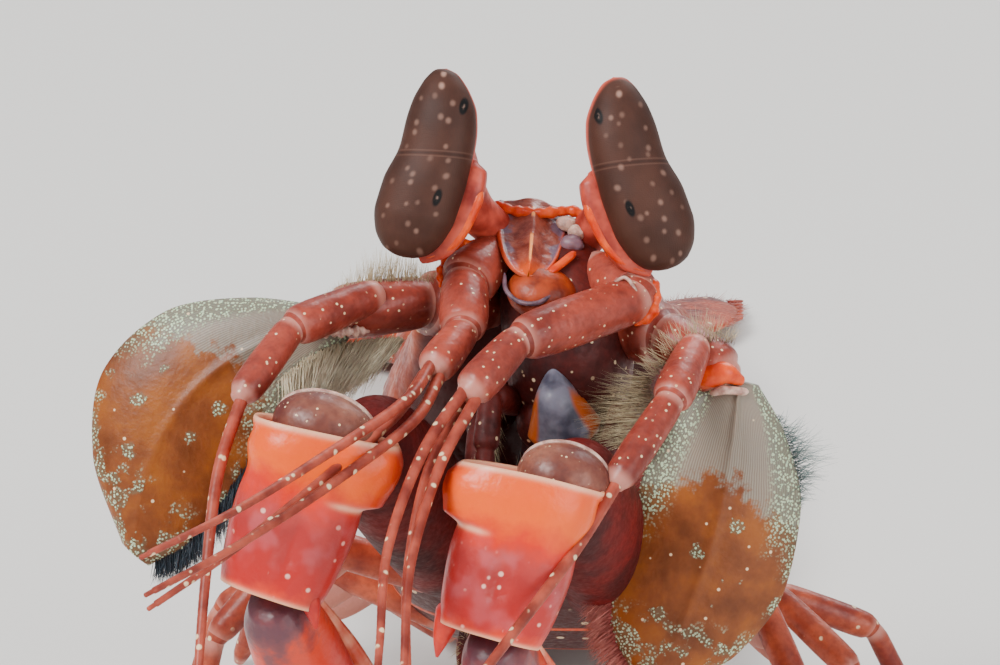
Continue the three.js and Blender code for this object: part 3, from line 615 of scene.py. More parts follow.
def frame_at(s):
    """Places on the body's line at each s, with the directions up and to the side there."""
    s = np.atleast_1d(np.asarray(s, float))
    place, _, up, side = (read_line(s, LINE[0], values) for values in LINE[1:])
    return place, unit(up), unit(side)


def on_body(s, across, rise):
    place, up, side = frame_at(s)
    return (place + side * np.atleast_1d(across)[:, None] + up * np.atleast_1d(rise)[:, None]).squeeze()


def above_ground(s, across, z):
    """The place beside the body's line at s that lies z above the ground."""
    place = on_body(s, across, 0)
    place[2] = z
    return place


HALF_WIDTH = [
    (0, 3.6), (3, 5.6), (9, 9), (20, 12), (34, 12.8), (58, 12.4), (80, 14.2), (116, 15.4), (139, 13.6),
]
RISE = [(0, 3.8), (10, 6), (30, 6.6), (58, 5.6), (116, 5.4), (139, 4.2)]
DEPTH = [(0, 0.9), (6, 1.6), (16, 6.4), (27, 7.2), (36, 5.6), (58, 4.2), (139, 3.4)]
GAP, BODY_POWER = 0.3, 2.5
NECK, NECK_SIZE, EDGE_SIZE, FLARE_SPEED = 1.6, (0.9, 0.93), 0.975, 1.15
GROOVE_FADE = 0.08


def body_piece(start, length, flare, rows=48, around=96, neck=NECK):
    """One length of the body, flared to its rear edge, with a neck tucked under the one before."""
    t = np.linspace(0, 1, rows)
    first = start + GAP / 2
    s = mix(first, start + length - GAP / 2, t)
    size = 1 - flare * (1 - smooth(t * FLARE_SPEED))
    s = np.concatenate([[first - neck, first - neck / 2], s])
    size = np.concatenate([[size[0] * share for share in NECK_SIZE], size])
    size[[2, -1]] *= EDGE_SIZE
    place, up, side = frame_at(s)
    half, rise, depth = (steps(table, s) * size for table in (HALF_WIDTH, RISE, DEPTH))
    rings = ring_points(place, side, up, half, rise, around, BODY_POWER, depth)
    skin = skin_rings(rings, along=np.repeat(np.concatenate([[-0.1, -0.05], t]), around))
    angle = 2 * math.pi * skin.marks["around"]
    # The mark "below" is 1 on the underside, where the shell paint lays painted shade
    skin.marks["below"] = 1 - smooth(np.sin(angle), -0.55, -0.1)
    return skin


def groove(skin, at, slope, wide, deep, start, end):
    """Press a groove into each side of a body piece, from one share along it to another."""
    t = skin.marks["along"]
    angle = 2 * math.pi * skin.marks["around"]
    line = at + slope * t
    keep = window(t, start, start + GROOVE_FADE, end - GROOVE_FADE, end)
    press = sum(hump(np.cos(angle), sign * line, wide) for sign in (-1, 1))
    return skin.push(-deep * np.minimum(press, 1) * keep * (np.sin(angle) > 0))


shield = body_piece(0, CARAPACE, 0, 160, 220, 0.01)
shield = groove(shield, 0.5, -0.12, 0.03, 0.35, 0.1, 0.96)
shield = groove(shield, 0.86, -0.05, 0.03, 0.3, 0.16, 0.98)
shield = shield.push(0.1 * lumps(shield.points, 1.6) + 0.05 * lumps(shield.points, 0.6, 3))
dress("carapace", shield, BODY)
for i in range(3):
    skin = body_piece(CARAPACE + i * THORAX, THORAX, 0.06, 60, 140)
    skin = groove(skin, 0.82, 0, 0.03, 0.2, 0.1, 0.98)
    put(f"thorax_shell_{i + 6}", skin, BODY, [f"thorax_{i + 6}"])


# Abdomen with its swimming legs

LEAVES = [ABDOMEN_START + i * ABDOMEN for i in range(5)]
# Along the body and across it, then up from its line for the root and from the ground for the tip
LEAF_ROOT, LEAF_TIP = (4, 6.5, -2.2), (15, 8.5, 0.45)
LEAF_WIDTH = 8
LEAF_FORM = [(0, 0.4, 1.5), (0.3, 0.9, 0.8), (0.62, 1, 0.6), (0.9, 0.7, 0.4), (1, 0.3, 0.3)]


def leaf_ends(s, sign):
    """Root and tip of a swimming leg, which sweeps back from under the belly to the ground."""
    s_root, across, rise = LEAF_ROOT
    s_tip, out, height = LEAF_TIP
    return on_body(s + s_root, sign * across, rise), above_ground(s + s_tip, sign * out, height)


def swimming_leg(s, sign):
    root, tip = leaf_ends(s, sign)
    side = frame_at(s + 8)[2][0]
    rise = normal_to(side, unit(tip - root))
    t = np.linspace(0, 1, 22)
    half, thick = (flow(LEAF_FORM, t) * vec(LEAF_WIDTH, 1) / 2).T
    return skin_rings(ring_points(mix(root, tip, t[:, None]), side, rise, half, thick, 28))


for i, start in enumerate(LEAVES):
    skin = body_piece(start, ABDOMEN, 0.07, 80, 140)
    skin = groove(skin, 0.84, 0, 0.03, 0.25, 0.08, 0.98)
    skin = groove(skin, 0.6, 0.04, 0.02, 0.12, 0.3, 0.8)
    skin = skin.push(0.06 * lumps(skin.points, 1.2, i))
    skin = skin + swimming_leg(start, -1) + swimming_leg(start, 1)
    put(f"abdomen_shell_{i + 1}", skin, BODY, [f"abdomen_{i + 1}"])
put("abdomen_shell_6", body_piece(SIXTH_START, SIXTH, 0.05), BODY, ["abdomen_6"])


# Telson

TELSON_HALF, TEETH_ROOM, TOOTH_HEIGHT, TOOTH_PAIRS, NOTCH = 14.6, 2.4, 1.1, 4, 0.03
KEELS = ((0, 0.9), (-0.42, 0.45), (0.42, 0.45))


def telson_skin():
    t, x = share_grid(60, 161)
    rounded = np.sqrt(1 - 0.9 * x * x)
    tooth = TOOTH_HEIGHT * np.abs(np.sin(TOOTH_PAIRS * np.pi * x)) ** 3 * smooth(t, 0.5, 1)
    reach = (TELSON - TEETH_ROOM) * mix(0.5, 1, rounded) + tooth - hump(x, 0, NOTCH)
    s = TELSON_START + GAP / 2 + t * reach
    half = TELSON_HALF * mix(0.9, 1, smooth(t * 2)) * mix(1, 0.84, t * t)
    thick = mix(3.6, 0.6, smooth(t)) * np.sqrt(1 - 0.75 * x * x)
    keels = sum(height * hump(x, at, 0.05) for at, height in KEELS)
    sag = -1.6 * x * x - 2.2 * t + 0.6

    def layer(rise):
        return on_body(s.reshape(-1), (x * half).reshape(-1), rise.reshape(-1)).reshape(*t.shape, 3)

    return plate_skin(layer(sag + thick / 2 + keels * (1 - t)), layer(sag - thick / 2))


dress("telson", telson_skin(), BODY)


# Limbs, blades and spines

LIMB_FORM = [(0.0, 0.74), (0.08, 0.82), (0.3, 0.92), (0.8, 1.06), (0.9, 1.04), (0.97, 0.84), (1.0, 0.72)]
LIMB_ROWS, BLUR = 26, 4
BLADE_FORM = [
    (0, 0.42, 1.5), (0.2, 0.8, 1.3), (0.5, 1, 1.0), (0.8, 0.84, 0.8), (0.96, 0.42, 0.6), (1, 0.2, 0.5),
]
BLADE_END, EDGE_END, EDGE_INSET = 0.97, 0.96, 0.94
CLEARANCE, SPIKE_ROWS = 0.08, 14


def limb_skin(joints, radii, up, sides=32, flat=1.0, form=LIMB_FORM):
    """A jointed limb whose stretches swell towards their far ends and narrow at the joints."""
    joints = np.array(joints, float)
    places, sizes, part = [], [], []
    for i in range(len(joints) - 1):
        t = np.linspace(0, 1, LIMB_ROWS, endpoint=i == len(joints) - 2)
        places.append(mix(joints[i], joints[i + 1], t[:, None]))
        sizes.append(mix(radii[i], radii[i + 1], t) * flow(form, t)[:, 0])
        part.append(t)
    sizes, part = np.concatenate(sizes), np.concatenate(part)
    kernel = np.hanning(2 * BLUR + 1)
    kernel = kernel / kernel.sum()
    padded = np.pad(np.vstack(places), ((BLUR, BLUR), (0, 0)), mode="reflect", reflect_type="odd")
    places = np.stack([np.convolve(padded[:, k], kernel, "valid") for k in range(3)], 1)
    return tube_skin(places, sizes, sizes * flat, up, sides, joint=part)


def blade_skin(root, tip, wide, thick, up, rows=40, sides=40):
    t = np.linspace(0, 1, rows)
    half, high = flow(BLADE_FORM, t).T
    middle = mix(root, tip, (t * BLADE_END)[:, None])
    return tube_skin(middle, wide / 2 * half, thick / 2 * high, up, sides)


def blade_edge(root, tip, wide, up, start=0.3):
    """Points round the edge of a blade, and the way its hairs stand at each of them."""
    t = np.linspace(start, EDGE_END, 7)
    ahead = unit(tip - root)
    side = normal_to(ahead, up) * (wide / 2 * flow(BLADE_FORM, t)[:, :1] * EDGE_INSET)
    middle = mix(root, tip, t[:, None])
    line = np.vstack([middle + side, (middle - side)[::-1]])
    return line, unit(line - mix(root, tip, 0.3)) + ahead * 0.6


def grounded(skin):
    """Keep a skin just above the ground."""
    skin.points[:, 2] = np.maximum(skin.points[:, 2], CLEARANCE)
    return skin


def spike(root, tip, thick):
    line = mix(root, tip, np.linspace(0, 1, SPIKE_ROWS)[:, None])
    size = thick * np.sqrt(np.linspace(1, 0.01, SPIKE_ROWS))
    return tube_skin(line, size, size, vec(0, 0.1, 1), SPIKE_ROWS)


# Uropods and the hairs of the tail end

UROPOD_SPINES = 6
UPWARDS = vec(0, 0, 1)
TAIL = shell_paint("tail_shell", tint(120, 44, 40), tint(206, 104, 60), 1.6)


def uropod(side, sign):
    """A stem with two blades, a row of spines and a long spine, and hairs round the blades."""

    def low(s, across, z):
        return above_ground(TELSON_START + s, sign * across, z)

    ends = [on_body(TELSON_START - 6, sign * 10.2, -1.8), low(2.5, 15.6, 3.6)]
    skin = limb_skin(ends, [2.5, 2.3], UPWARDS, form=[(0, 1), (0.5, 1.05), (1, 0.9)])
    blades = [
        (low(1, 15.6, 3.2), low(16.5, 22.4, 0.9), 9.4, 1.5),
        (low(1, 14.6, 2.4), low(18.5, 14.4, 0.5), 6.6, 1.2),
    ]
    for blade in blades:
        skin = skin + blade_skin(*blade, UPWARDS)
    root, tip = blades[0][:2]
    out = normal_to(tip - root, UPWARDS) * sign
    aim = unit(tip - root) + vec(sign * 0.5, 0, 0)
    for share in np.arange(UROPOD_SPINES) / (UROPOD_SPINES - 1):
        foot = mix(root, tip, mix(0.45, 0.92, share)) + out * mix(4.2, 2.6, share)
        skin = skin + spike(foot, foot + aim * 2.0, 0.4)
    skin = skin + spike(low(3, 15.0, 2.0), low(13, 18.0, 0.7), 1.1)
    dress(f"uropod_{side}", skin, TAIL)
    for k, (root, tip, wide, _) in enumerate(blades):
        line, aims = blade_edge(root, tip, wide, UPWARDS)
        hair = grounded(fringe(line, aims, [1.2, 2.2, 1.2], 420, 0.06))
        put(f"uropod_{side}_hairs_{k + 1}", hair, PINK_HAIR)


for side, sign in SIDES:
    uropod(side, sign)
for i, start in enumerate(LEAVES):
    for side, sign in SIDES:
        line, aims = blade_edge(*leaf_ends(start, sign), LEAF_WIDTH, vec(0, 0.3, 1), 0.45)
        hair = grounded(fringe(line, aims, [0.8, 1.6, 0.8], 220, 0.055))
        put(f"swimming_leg_{i + 1}_{side}_hairs", hair, PINK_HAIR)


# Rostral plate

HEAD_AHEAD = unit(vec(0.24, -0.901, -0.363))
HEAD_SIDE = unit(vec(0.939, 0.306, -0.14))
HEAD_UP = normal_to(HEAD_AHEAD, HEAD_SIDE)
HEAD_AXES = (HEAD_SIDE, HEAD_AHEAD, HEAD_UP)
PLATE_REAR = vec(-0.9, 3.4, 55.9)
PLATE_LENGTH, PLATE_HALF, PLATE_THICK, PLATE_CROWN = 7.8, 2.6, 0.7, 0.9


def rostral_plate():
    """Broad shoulders behind, a short point in front, a ridge down the middle and raised edges."""
    t, x = share_grid(60, 61)
    half = PLATE_HALF * np.maximum(0.05, np.sqrt(np.maximum(0, 1 - t**2.6)))
    ridge = 0.34 * hump(x, 0, 0.16) * smooth(t, 0.0, 0.25)
    lip = 0.22 * window(np.abs(x), 0.78, 0.95, 0.95, 1.0)
    hollow = -0.18 * hump(np.abs(x), 0.5, 0.22)
    rise = PLATE_CROWN * (1 - x * x) * (1 - 0.5 * t) + ridge + lip + hollow
    thick = PLATE_THICK * np.sqrt(np.maximum(0.02, 1 - x**6)) * np.sqrt(np.maximum(0.04, 1 - t**8))
    along, across = (t * PLATE_LENGTH)[..., None], (x * half)[..., None]
    middle = PLATE_REAR + HEAD_AHEAD * along + HEAD_SIDE * across
    return plate_skin(middle + HEAD_UP * rise[..., None], middle + HEAD_UP * (rise - thick)[..., None])


def plate_paint():
    """Rosy middle, blue-grey sides, an orange tip and rim, and a bright dash on the ridge."""
    p = Paint("plate_shell")
    x, t = p.absolute(p.mark("across")), p.mark("along")
    p.clouds(p.noise(1.3, 4.0, 0.6), tint(134, 70, 60), tint(184, 116, 98))
    p.cover(p.span(p.times(x, p.noise(0.9, 2.0)), 0.3, 0.42), tint(136, 112, 126))
    p.cover(p.span(t, 0.76, 0.98), tint(226, 110, 50))
    p.cover(p.times(p.span(x, 0.84, 0.95), p.span(t, 0.2, 0.5)), tint(226, 118, 84))
    first = p.times(p.span(t, 0.12, 0.16), p.span(t, 0.3, 0.26))
    second = p.times(p.span(t, 0.5, 0.54), p.span(t, 0.9, 0.84))
    p.cover(p.times(p.span(x, 0.07, 0.03), p.larger(first, second)), tint(255, 176, 110))
    return p.finish(0.3, p.relief(p.noise(0.7, 3.0), 0.14), 0.3, 0.7, coat=0.2)


dress("rostral_plate", rostral_plate(), plate_paint())


# Head and mouth

RIM_ROWS, RIM_SIDES, RIM_UP, RIM_WAVES = 90, 24, vec(0.1, 0.4, 0.9), (41, 17)
HEAD_LINE = [
    (0.5, 2.4, 53.8, 2.6, 1.3), (1.4, 1.2, 51.6, 4.0, 3.2), (2.2, 0.8, 48.8, 4.5, 4.7),
    (2.7, 0.9, 46.0, 4.7, 5.3), (2.6, 1.6, 42.6, 4.2, 4.8), (1.6, 3.0, 39.6, 3.0, 3.0),
]
LIP_LINE = [
    (2.9, -3.2, 46.9, 0.4, 0.6), (3.0, -3.6, 46.3, 0.55, 0.8), (3.2, -4.1, 45.5, 1.1, 1.3),
    (3.6, -4.7, 44.1, 1.9, 2.0), (4.0, -4.5, 42.4, 2.7, 2.0),
]
CARAPACE_EDGE = [(-3.3, 1.6, 56.6), (-1.7, 1.5, 56.2), (0.4, 1.9, 56.1), (2.2, 3.0, 56.1), (3.7, 3.0, 55.5)]
HEAD_EDGE = [(-0.9, -3.2, 53.1), (-0.3, -4.6, 52.3), (0.9, -5.0, 51.7), (2.3, -4.7, 51.8), (3.3, -3.2, 52.6)]
LEFT_SEAM = [(7.1, -2.8, 53.1), (7.8, -2.6, 53.5), (8.5, -2.8, 53.0), (8.9, -3.1, 52.1), (8.7, -3.6, 50.9)]
LEFT_EDGE = [
    (5.5, 0.6, 54.2), (6.9, -0.2, 54.0), (8.2, -0.4, 53.3), (9.5, -0.9, 52.0), (9.4, -1.7, 50.7),
    (8.6, -2.5, 50.0),
]
RIGHT_EDGE = [
    (-2.6, -0.3, 53.7), (-3.7, -1.2, 54.2), (-5.1, -1.6, 54.1), (-5.6, -2.7, 53.1), (-5.5, -3.9, 51.8),
]
# Two pale lumps, and a third, lower one in violet-grey that is painted shadow
BROWS = [((2.1, 1.9, 55.5), 0.75, PALE), ((3.1, 1.7, 55.0), 0.8, PALE), ((2.9, 0.8, 54.4), 0.85, VIOLET_SHADOW)]


def rim(name, radius, material, points, wave=0.0):
    """A rounded edge along a smooth curve, waved where a real one is scalloped."""
    t = np.linspace(0, 1, RIM_ROWS)
    size = radius * np.sqrt(np.clip(1.02 - (2 * t - 1) ** 6, 0.05, 1))
    size = size * (1 + wave * np.sin(t * RIM_WAVES[0]) * np.sin(t * RIM_WAVES[1] + 1))
    put(name, tube_skin(path_through(points, RIM_ROWS), size, size, RIM_UP, RIM_SIDES), material)


def lip_paint():
    """Blue-grey above, with an orange-brown band down each side."""
    p = Paint("lip_shell")
    sideways = p.absolute(p.math("COSINE", p.times(p.mark("around"), 2 * math.pi)))
    along = p.mark("along")
    p.clouds(p.noise(1.6, 3.0), tint(92, 90, 104), tint(146, 144, 156))
    p.cover(p.span(along, 0.14, 0.02), tint(150, 100, 70))
    p.cover(p.times(p.span(sideways, 0.62, 0.8), p.span(along, 0.4, 0.6)), tint(196, 108, 44))
    return p.finish(0.38, p.relief(p.noise(0.8, 2.0), 0.08), 0.2, 0.5)


dress("head", ellipse_tube(HEAD_LINE, HEAD_AHEAD), SHADED_LIMB)
lobe = ball_skin((1.7, -2.7, 51.7), (2.5, 2.2, 1.7), HEAD_AXES, 64, 48)
put("head_lobe", lobe, plain_paint("lobe_shell", tint(132, 60, 40), tint(184, 90, 50), 1.4))
rim("carapace_rim", 0.38, RIM, CARAPACE_EDGE, 0.2)
rim("head_rim", 0.17, BLUE_RIM, HEAD_EDGE)
rim("antennule_left_seam", 0.13, PALE, LEFT_SEAM)
rim("brow_rim", 0.3, RIM, [(3.5, -0.4, 54.2), (2.9, -1.2, 53.7), (2.2, -2.6, 53.2)])
rim("antennule_left_rim", 0.52, RIM, LEFT_EDGE, 0.25)
rim("antennule_right_rim", 0.36, RIM, RIGHT_EDGE, 0.4)
for i, (place, size, look) in enumerate(BROWS):
    brow = ball_skin(place, (size, size * 0.8, size * 0.7), HEAD_AXES, 48, 32)
    put(f"brow_{i + 1}", brow.push(0.12 * lumps(brow.points, 0.5, i)), look)
dress("mouth", ellipse_tube(LIP_LINE, HEAD_AHEAD), lip_paint())
jaws = [ball_skin(place, (1.7, 1.9, 2.0), HEAD_AXES) for place in ((1.6, -2.6, 41.8), (5.4, -1.4, 41.2))]
put("jaw_shell", jaws[0] + jaws[1], SHADED_LIMB)


# Eyes

EYE_FORM = [
    (0, 0.0), (0.005, 0.2), (0.02, 0.39), (0.04, 0.53), (0.12, 0.78), (0.24, 0.92), (0.37, 0.93),
    (0.55, 0.84), (0.68, 0.82), (0.8, 0.74), (0.9, 0.55), (0.96, 0.36), (0.985, 0.23), (1, 0.0),
]
EYE_BEND = [(0, 0), (0.1, 0.02), (0.37, 0.3), (0.58, 0.65), (0.8, 0.5), (1, 0)]
EYE_HALF, EYE_DEEP = 3.15, 2.7
# The low end, the high end and the stalk's root of each eye
EYES = {
    "right": ((-7.0, -7.4, 55.0), (-5.6, -1.9, 67.4), (-2.9, 1.2, 54.6)),
    "left": ((10.6, -1.4, 54.0), (5.3, 2.6, 66.5), (3.2, 3.0, 54.2)),
}
VIEW_BACK = vec(0.29, -0.894, 0.342)
# Rows of dots up the cornea: the share of its length, and how many dots
EYE_SPOTS = (
    (0.965, 1), (0.9, 1), (0.81, 3), (0.72, 3), (0.63, 2), (0.55, 3), (0.44, 3), (0.35, 3), (0.26, 4),
    (0.16, 3), (0.06, 3),
)
SPOT_SIZES, SPOT_STRENGTHS, SPOT_DRIFT = (0.18, 0.27), (0.2, 0.5), 0.035
TOP_SPOTS, TOP_SIZE, TOP_STRENGTH = 0.9, 1.3, 0.9
# Share of the cornea's length and of its half width where each false pupil lies
PUPILS = ((0.82, 0.74), (0.33, 0.58))
EYE_BAND = 0.545
CUP_FORM = [(-0.1, 1.5, 1.4), (0.25, 1.6, 1.5), (0.5, 2.0, 2.3), (0.75, 2.6, 4.0), (0.98, 2.9, 5.4)]
WEDGE_FORM = [(0.02, 0.5), (0.12, 1.3), (0.4, 1.7), (0.52, 1.5), (0.56, 0.7)]
CUP_AT, CUP_BACK = 0.46, 2.2
WEDGE_OUT, WEDGE_BACK, WEDGE_FLAT = 0.82, 0.9, 0.55
BAND_OUT, BAND_FORWARD, BAND_SHARES = 0.86, 0.25, (0.05, 0.72)


def part_of(skin, start, end):
    """A tube narrowed to nothing outside a share of its length."""
    t = skin.marks["along"]
    keep = window(t, start - 0.05, start + 0.05, end - 0.08, end + 0.08)
    for at in np.unique(t):
        here = t == at
        middle = skin.points[here].mean(0)
        skin.points[here] = middle + (skin.points[here] - middle) * max(0.02, keep[here][0])
    return skin


def eye_skin(low, high, face, inwards):
    """A cornea from its low to its high end, with more rows of points near the ends."""
    t = (1 - np.cos(np.linspace(0, math.pi, 240))) / 2
    size = np.maximum(flow(EYE_FORM, t)[:, 0], 0.01)
    middle = mix(low, high, t[:, None]) + inwards * flow(EYE_BEND, t)
    return skin_rings(ring_points(middle, inwards, face, EYE_HALF * size, EYE_DEEP * size, 200, 2.2))


def eye_marks(skin, low, high, face, inwards):
    """Pale dots and the two dark false pupils, as numbers on the cornea's points."""
    length = np.linalg.norm(high - low)
    q = skin.points - low
    t = q @ unit(high - low)
    x = q @ inwards - flow(EYE_BEND, t / length)[:, 0]
    front = q @ face > 0.2
    dots, pupil, halo = np.zeros((3, len(t)))
    for row, count in EYE_SPOTS:
        top = row >= TOP_SPOTS
        wide = EYE_HALF * flow(EYE_FORM, row)[0, 0] * 0.8
        for k in range(count):
            spot_x = ((k + 0.5) / count * 2 - 1) * wide + random.uniform(-0.5, 0.5) * min(1, count - 1)
            spot_t = (row + random.uniform(-SPOT_DRIFT, SPOT_DRIFT) * (not top)) * length
            r = random.uniform(*SPOT_SIZES) * (TOP_SIZE if top else 1)
            strength = TOP_STRENGTH if top else random.uniform(*SPOT_STRENGTHS)
            gap = np.hypot((x - spot_x) * 1.15, t - spot_t)
            dots = np.maximum(dots, strength * (1 - smooth(gap, r * 0.3, r * 1.3)) * front)
    for row, off in PUPILS:
        wide = EYE_HALF * flow(EYE_FORM, row)[0, 0]
        gap = np.hypot((x - off * wide) / 0.42, t - row * length)
        pupil = np.maximum(pupil, (1 - smooth(gap, 0.5, 0.75)) * front)
        halo = np.maximum(halo, hump(gap, 0, 0.16) * front)
    rear = smooth(-(q @ face), 0.1, 0.7)
    skin.marks.update(dots=dots, pupil=pupil, halo=halo, band=t / length - 0.012 * x, rear=rear)
    return skin


def eye_paint():
    p = Paint("cornea")
    p.clouds(p.noise(3.0, 3.0), tint(82, 56, 47), tint(98, 68, 57))
    band = p.absolute(p.minus(p.mark("band"), EYE_BAND))
    p.cover(p.span(band, 0.008, 0.002, 0.0, 0.3), tint(44, 28, 26))
    p.cover(p.span(p.absolute(p.minus(band, 0.014)), 0.006, 0.002, 0.0, 0.3), tint(134, 104, 92))
    p.cover(p.mark("dots"), tint(176, 144, 130))
    p.cover(p.mark("pupil"), tint(14, 9, 10))
    p.cover(p.times(p.mark("halo"), p.span(p.noise(0.25), 0.45, 0.6)), tint(150, 126, 116))
    p.cover(p.mark("rear"), tint(214, 108, 88))
    return p.finish(0.55, p.relief(p.cells(0.12, 0.4), 0.008), 0.06, 0.4, ior=1.28)


def eyestalk(side, low, high, root, face, inwards):
    """A stalk that widens to a cup behind the cornea, and a wedge with a rim along its inner side."""
    ahead = unit(high - low)
    middle = mix(low, high, CUP_AT) - face * CUP_BACK
    axis = unit(middle - root)
    t = np.linspace(-0.1, 0.98, 60)
    half, deep = flow(CUP_FORM, t).T
    rise = unit(ahead - axis * ((1 - t) * (ahead @ axis))[:, None])
    across = normal_to(axis, ahead)
    cup = skin_rings(ring_points(mix(root, middle, t[:, None]), across, rise, half, deep, 64))
    t = np.linspace(0.02, 0.56, 50)
    size = EYE_HALF * flow(EYE_FORM, t)
    out = inwards * (flow(EYE_BEND, t) + size * WEDGE_OUT)
    edge = mix(low, high, t[:, None]) + out - face * WEDGE_BACK
    wide = flow(WEDGE_FORM, t)[:, 0]
    wedge = tube_skin(edge, wide, wide * WEDGE_FLAT, face, 32, 3)
    line = edge + inwards * (wide * BAND_OUT)[:, None] + face * BAND_FORWARD
    band = tube_skin(line, wide * 0.22, wide * 0.3, face, 20)
    dress(f"eyestalk_{side}", cup + wedge, STALK)
    put(f"eyestalk_{side}_rim", part_of(band, *BAND_SHARES), RIM)


EYE = eye_paint()
for side, sign in SIDES:
    low, high, root = np.array(EYES[side])
    ahead = unit(high - low)
    face = VIEW_BACK + vec(1, 0.2, 0) * sign * 0.22
    face = unit(face - ahead * (VIEW_BACK @ ahead))
    inwards = to_middle(normal_to(ahead, face), sign)
    cornea = eye_marks(eye_skin(low, high, face, inwards), low, high, face, inwards)
    put(f"cornea_{side}", cornea, EYE, [f"eye_{side}"])
    eyestalk(side, low, high, root, face, inwards)


# Antennules, each with three feelers

# Joints and radii of each stem
ANTENNULES = {
    "right": (
        [(-2.6, 0.6, 53.6), (-3.6, -4.0, 52.3), (-2.2, -8.6, 50.4), (-2.8, -13.4, 49.2)],
        [1.75, 2.05, 1.5, 1.25],
    ),
    "left": (
        [(4.6, 1.2, 52.7), (8.3, -1.6, 51.6), (2.4, -10.6, 50.9), (0.6, -15.6, 48.7)],
        [1.7, 2.1, 1.5, 1.3],
    ),
}
RIGHT_FEELERS = [
    [
        (-2.9, -13.3, 49.6), (-2.9, -19.2, 48.9), (-5.8, -27.4, 47.6), (-8.8, -35.6, 46.6),
        (-12.5, -42.8, 45.7),
    ],
    [
        (-2.2, -13.8, 48.8), (-2.3, -19.4, 47.5), (-5.3, -27.8, 45.7), (-8.5, -36.2, 44.4),
        (-12.0, -43.4, 43.4),
    ],
    [
        (-3.5, -13.3, 48.7), (-3.9, -18.8, 47.4), (-6.6, -26.8, 45.2), (-9.6, -34.8, 43.2),
        (-12.6, -41.6, 41.6),
    ],
]
LEFT_FEELERS = [
    [(0.3, -15.7, 48.9), (-0.7, -21.8, 46.4), (-0.6, -29.2, 42.4), (1.0, -35.4, 38.6), (2.6, -41.4, 34.8)],
    [(1.1, -15.9, 48.3), (0.5, -21.8, 45.5), (0.8, -28.6, 41.3), (2.4, -34.6, 37.2), (4.2, -40.2, 33.2)],
    [(0.2, -15.2, 47.9), (-0.7, -20.6, 44.6), (0.0, -27.0, 39.8), (1.9, -32.6, 35.2), (4.0, -37.6, 30.8)],
]
FEELERS = {"right": RIGHT_FEELERS, "left": LEFT_FEELERS}
STEM_UP = vec(0.1, 0.5, 0.86)
FEELER_UP = unit(vec(0.13, 0.11, 0.98))
FEELER_ROWS, BEAD, BEAD_HEIGHT = 360, 0.55, 0.035


def feeler_skin(points, thick, thin):
    """A tapering whip of many short rings."""
    path = path_through(points, FEELER_ROWS)
    t = np.linspace(0, 1, FEELER_ROWS)
    far = np.linalg.norm(np.diff(path, axis=0), axis=1).sum()
    beads = 1 + BEAD_HEIGHT * np.abs(np.sin(np.pi * t * far / BEAD))
    r = mix(thick, thin, t) / 2 * beads * np.where(t > 0.98, 0.75, 1)
    return tube_skin(path, r, r, FEELER_UP, 16)


def feeler_paint():
    p = Paint("feeler_shell")
    p.clouds(p.noise(2.0, 3.0), tint(140, 66, 54), tint(190, 104, 84))
    spot = p.span(p.cells(0.95), 0.26, 0.15)
    p.cover(p.times(spot, p.span(p.noise(2.6, 1.0), 0.32, 0.42)), CREAM)
    return p.finish(0.42, p.relief(p.noise(0.4), 0.02), 0.25, 0.4)


FEELER = feeler_paint()
for side, (joints, radii) in ANTENNULES.items():
    dress(f"antennule_{side}", limb_skin(joints, radii, STEM_UP), LIMB)
    for i, points in enumerate(FEELERS[side]):
        dress(f"antennule_{side}_feeler_{i + 1}", feeler_skin(points, 0.86, 0.44), FEELER, "whip")


# Antennae: base, scale, stem and feeler

ANTENNAE = {
    "right": {
        "base": [(-3.4, 1.2, 48.6), (-7.2, -2.6, 50.0), (-12.4, -7.2, 50.2)],
        "stem": [(-9.6, -6.6, 51.6), (-13.4, -13.0, 50.9), (-14.9, -19.0, 47.8)],
        "feeler": [
            (-14.8, -18.6, 48.0), (-14.7, -24.0, 44.0), (-13.6, -29.4, 38.6), (-12.2, -35.0, 32.4),
            (-10.8, -40.4, 25.8),
        ],
    },
    "left": {
        "base": [(5.2, 2.6, 47.6), (10.0, 0.8, 48.2), (14.8, -0.6, 46.2)],
        "stem": [(12.9, -2.2, 48.7), (12.9, -8.4, 46.9), (10.9, -14.8, 43.0)],
        "feeler": [
            (11.1, -14.4, 43.3), (9.6, -20.4, 39.9), (7.4, -27.4, 36.4), (5.2, -34.6, 33.0),
            (2.6, -41.6, 29.2),
        ],
    },
}
# Root, tip and direction across of each scale, and how far it bows to the side
SCALES = {
    "right": ((-12.4, -7.0, 49.6), (-24.2, -16.6, 33.8), (-14.6, 0.6, 11.2), 4.2),
    "left": ((15.4, 0.0, 45.8), (11.4, -7.0, 24.6), (13.2, 5.6, 2.2), 1.2),
}
SCALE_HALF, SCALE_THICK, SCALE_DISH = 6.3, 0.8, 1.6
DISH_FROM, DISH_SPAN = 0.15, 0.7
SCALE_FORM = [(0, 0.26), (0.12, 0.6), (0.35, 0.94), (0.6, 1), (0.85, 0.74), (1, 0.2)]


def scale_grid(side, sign, t, x, rise=0.0):
    """Points of the antennal scale at shares t of its length and x of its half width."""
    root, tip, across, bow = (np.asarray(v, float) for v in SCALES[side])
    ahead = unit(tip - root)
    across = square_to(across, ahead)
    up = -sign * normal_to(across, ahead)
    half = SCALE_HALF * flow(SCALE_FORM, t.reshape(-1))[:, 0].reshape(t.shape)
    dish = SCALE_DISH * (1 - x * x) * np.sin(math.pi * (DISH_FROM + DISH_SPAN * t)) + rise
    shift = x * half + bow * 4 * t * (1 - t)
    middle = root + ahead * (t * np.linalg.norm(tip - root))[..., None]
    return middle + across * shift[..., None] + up * dish[..., None]


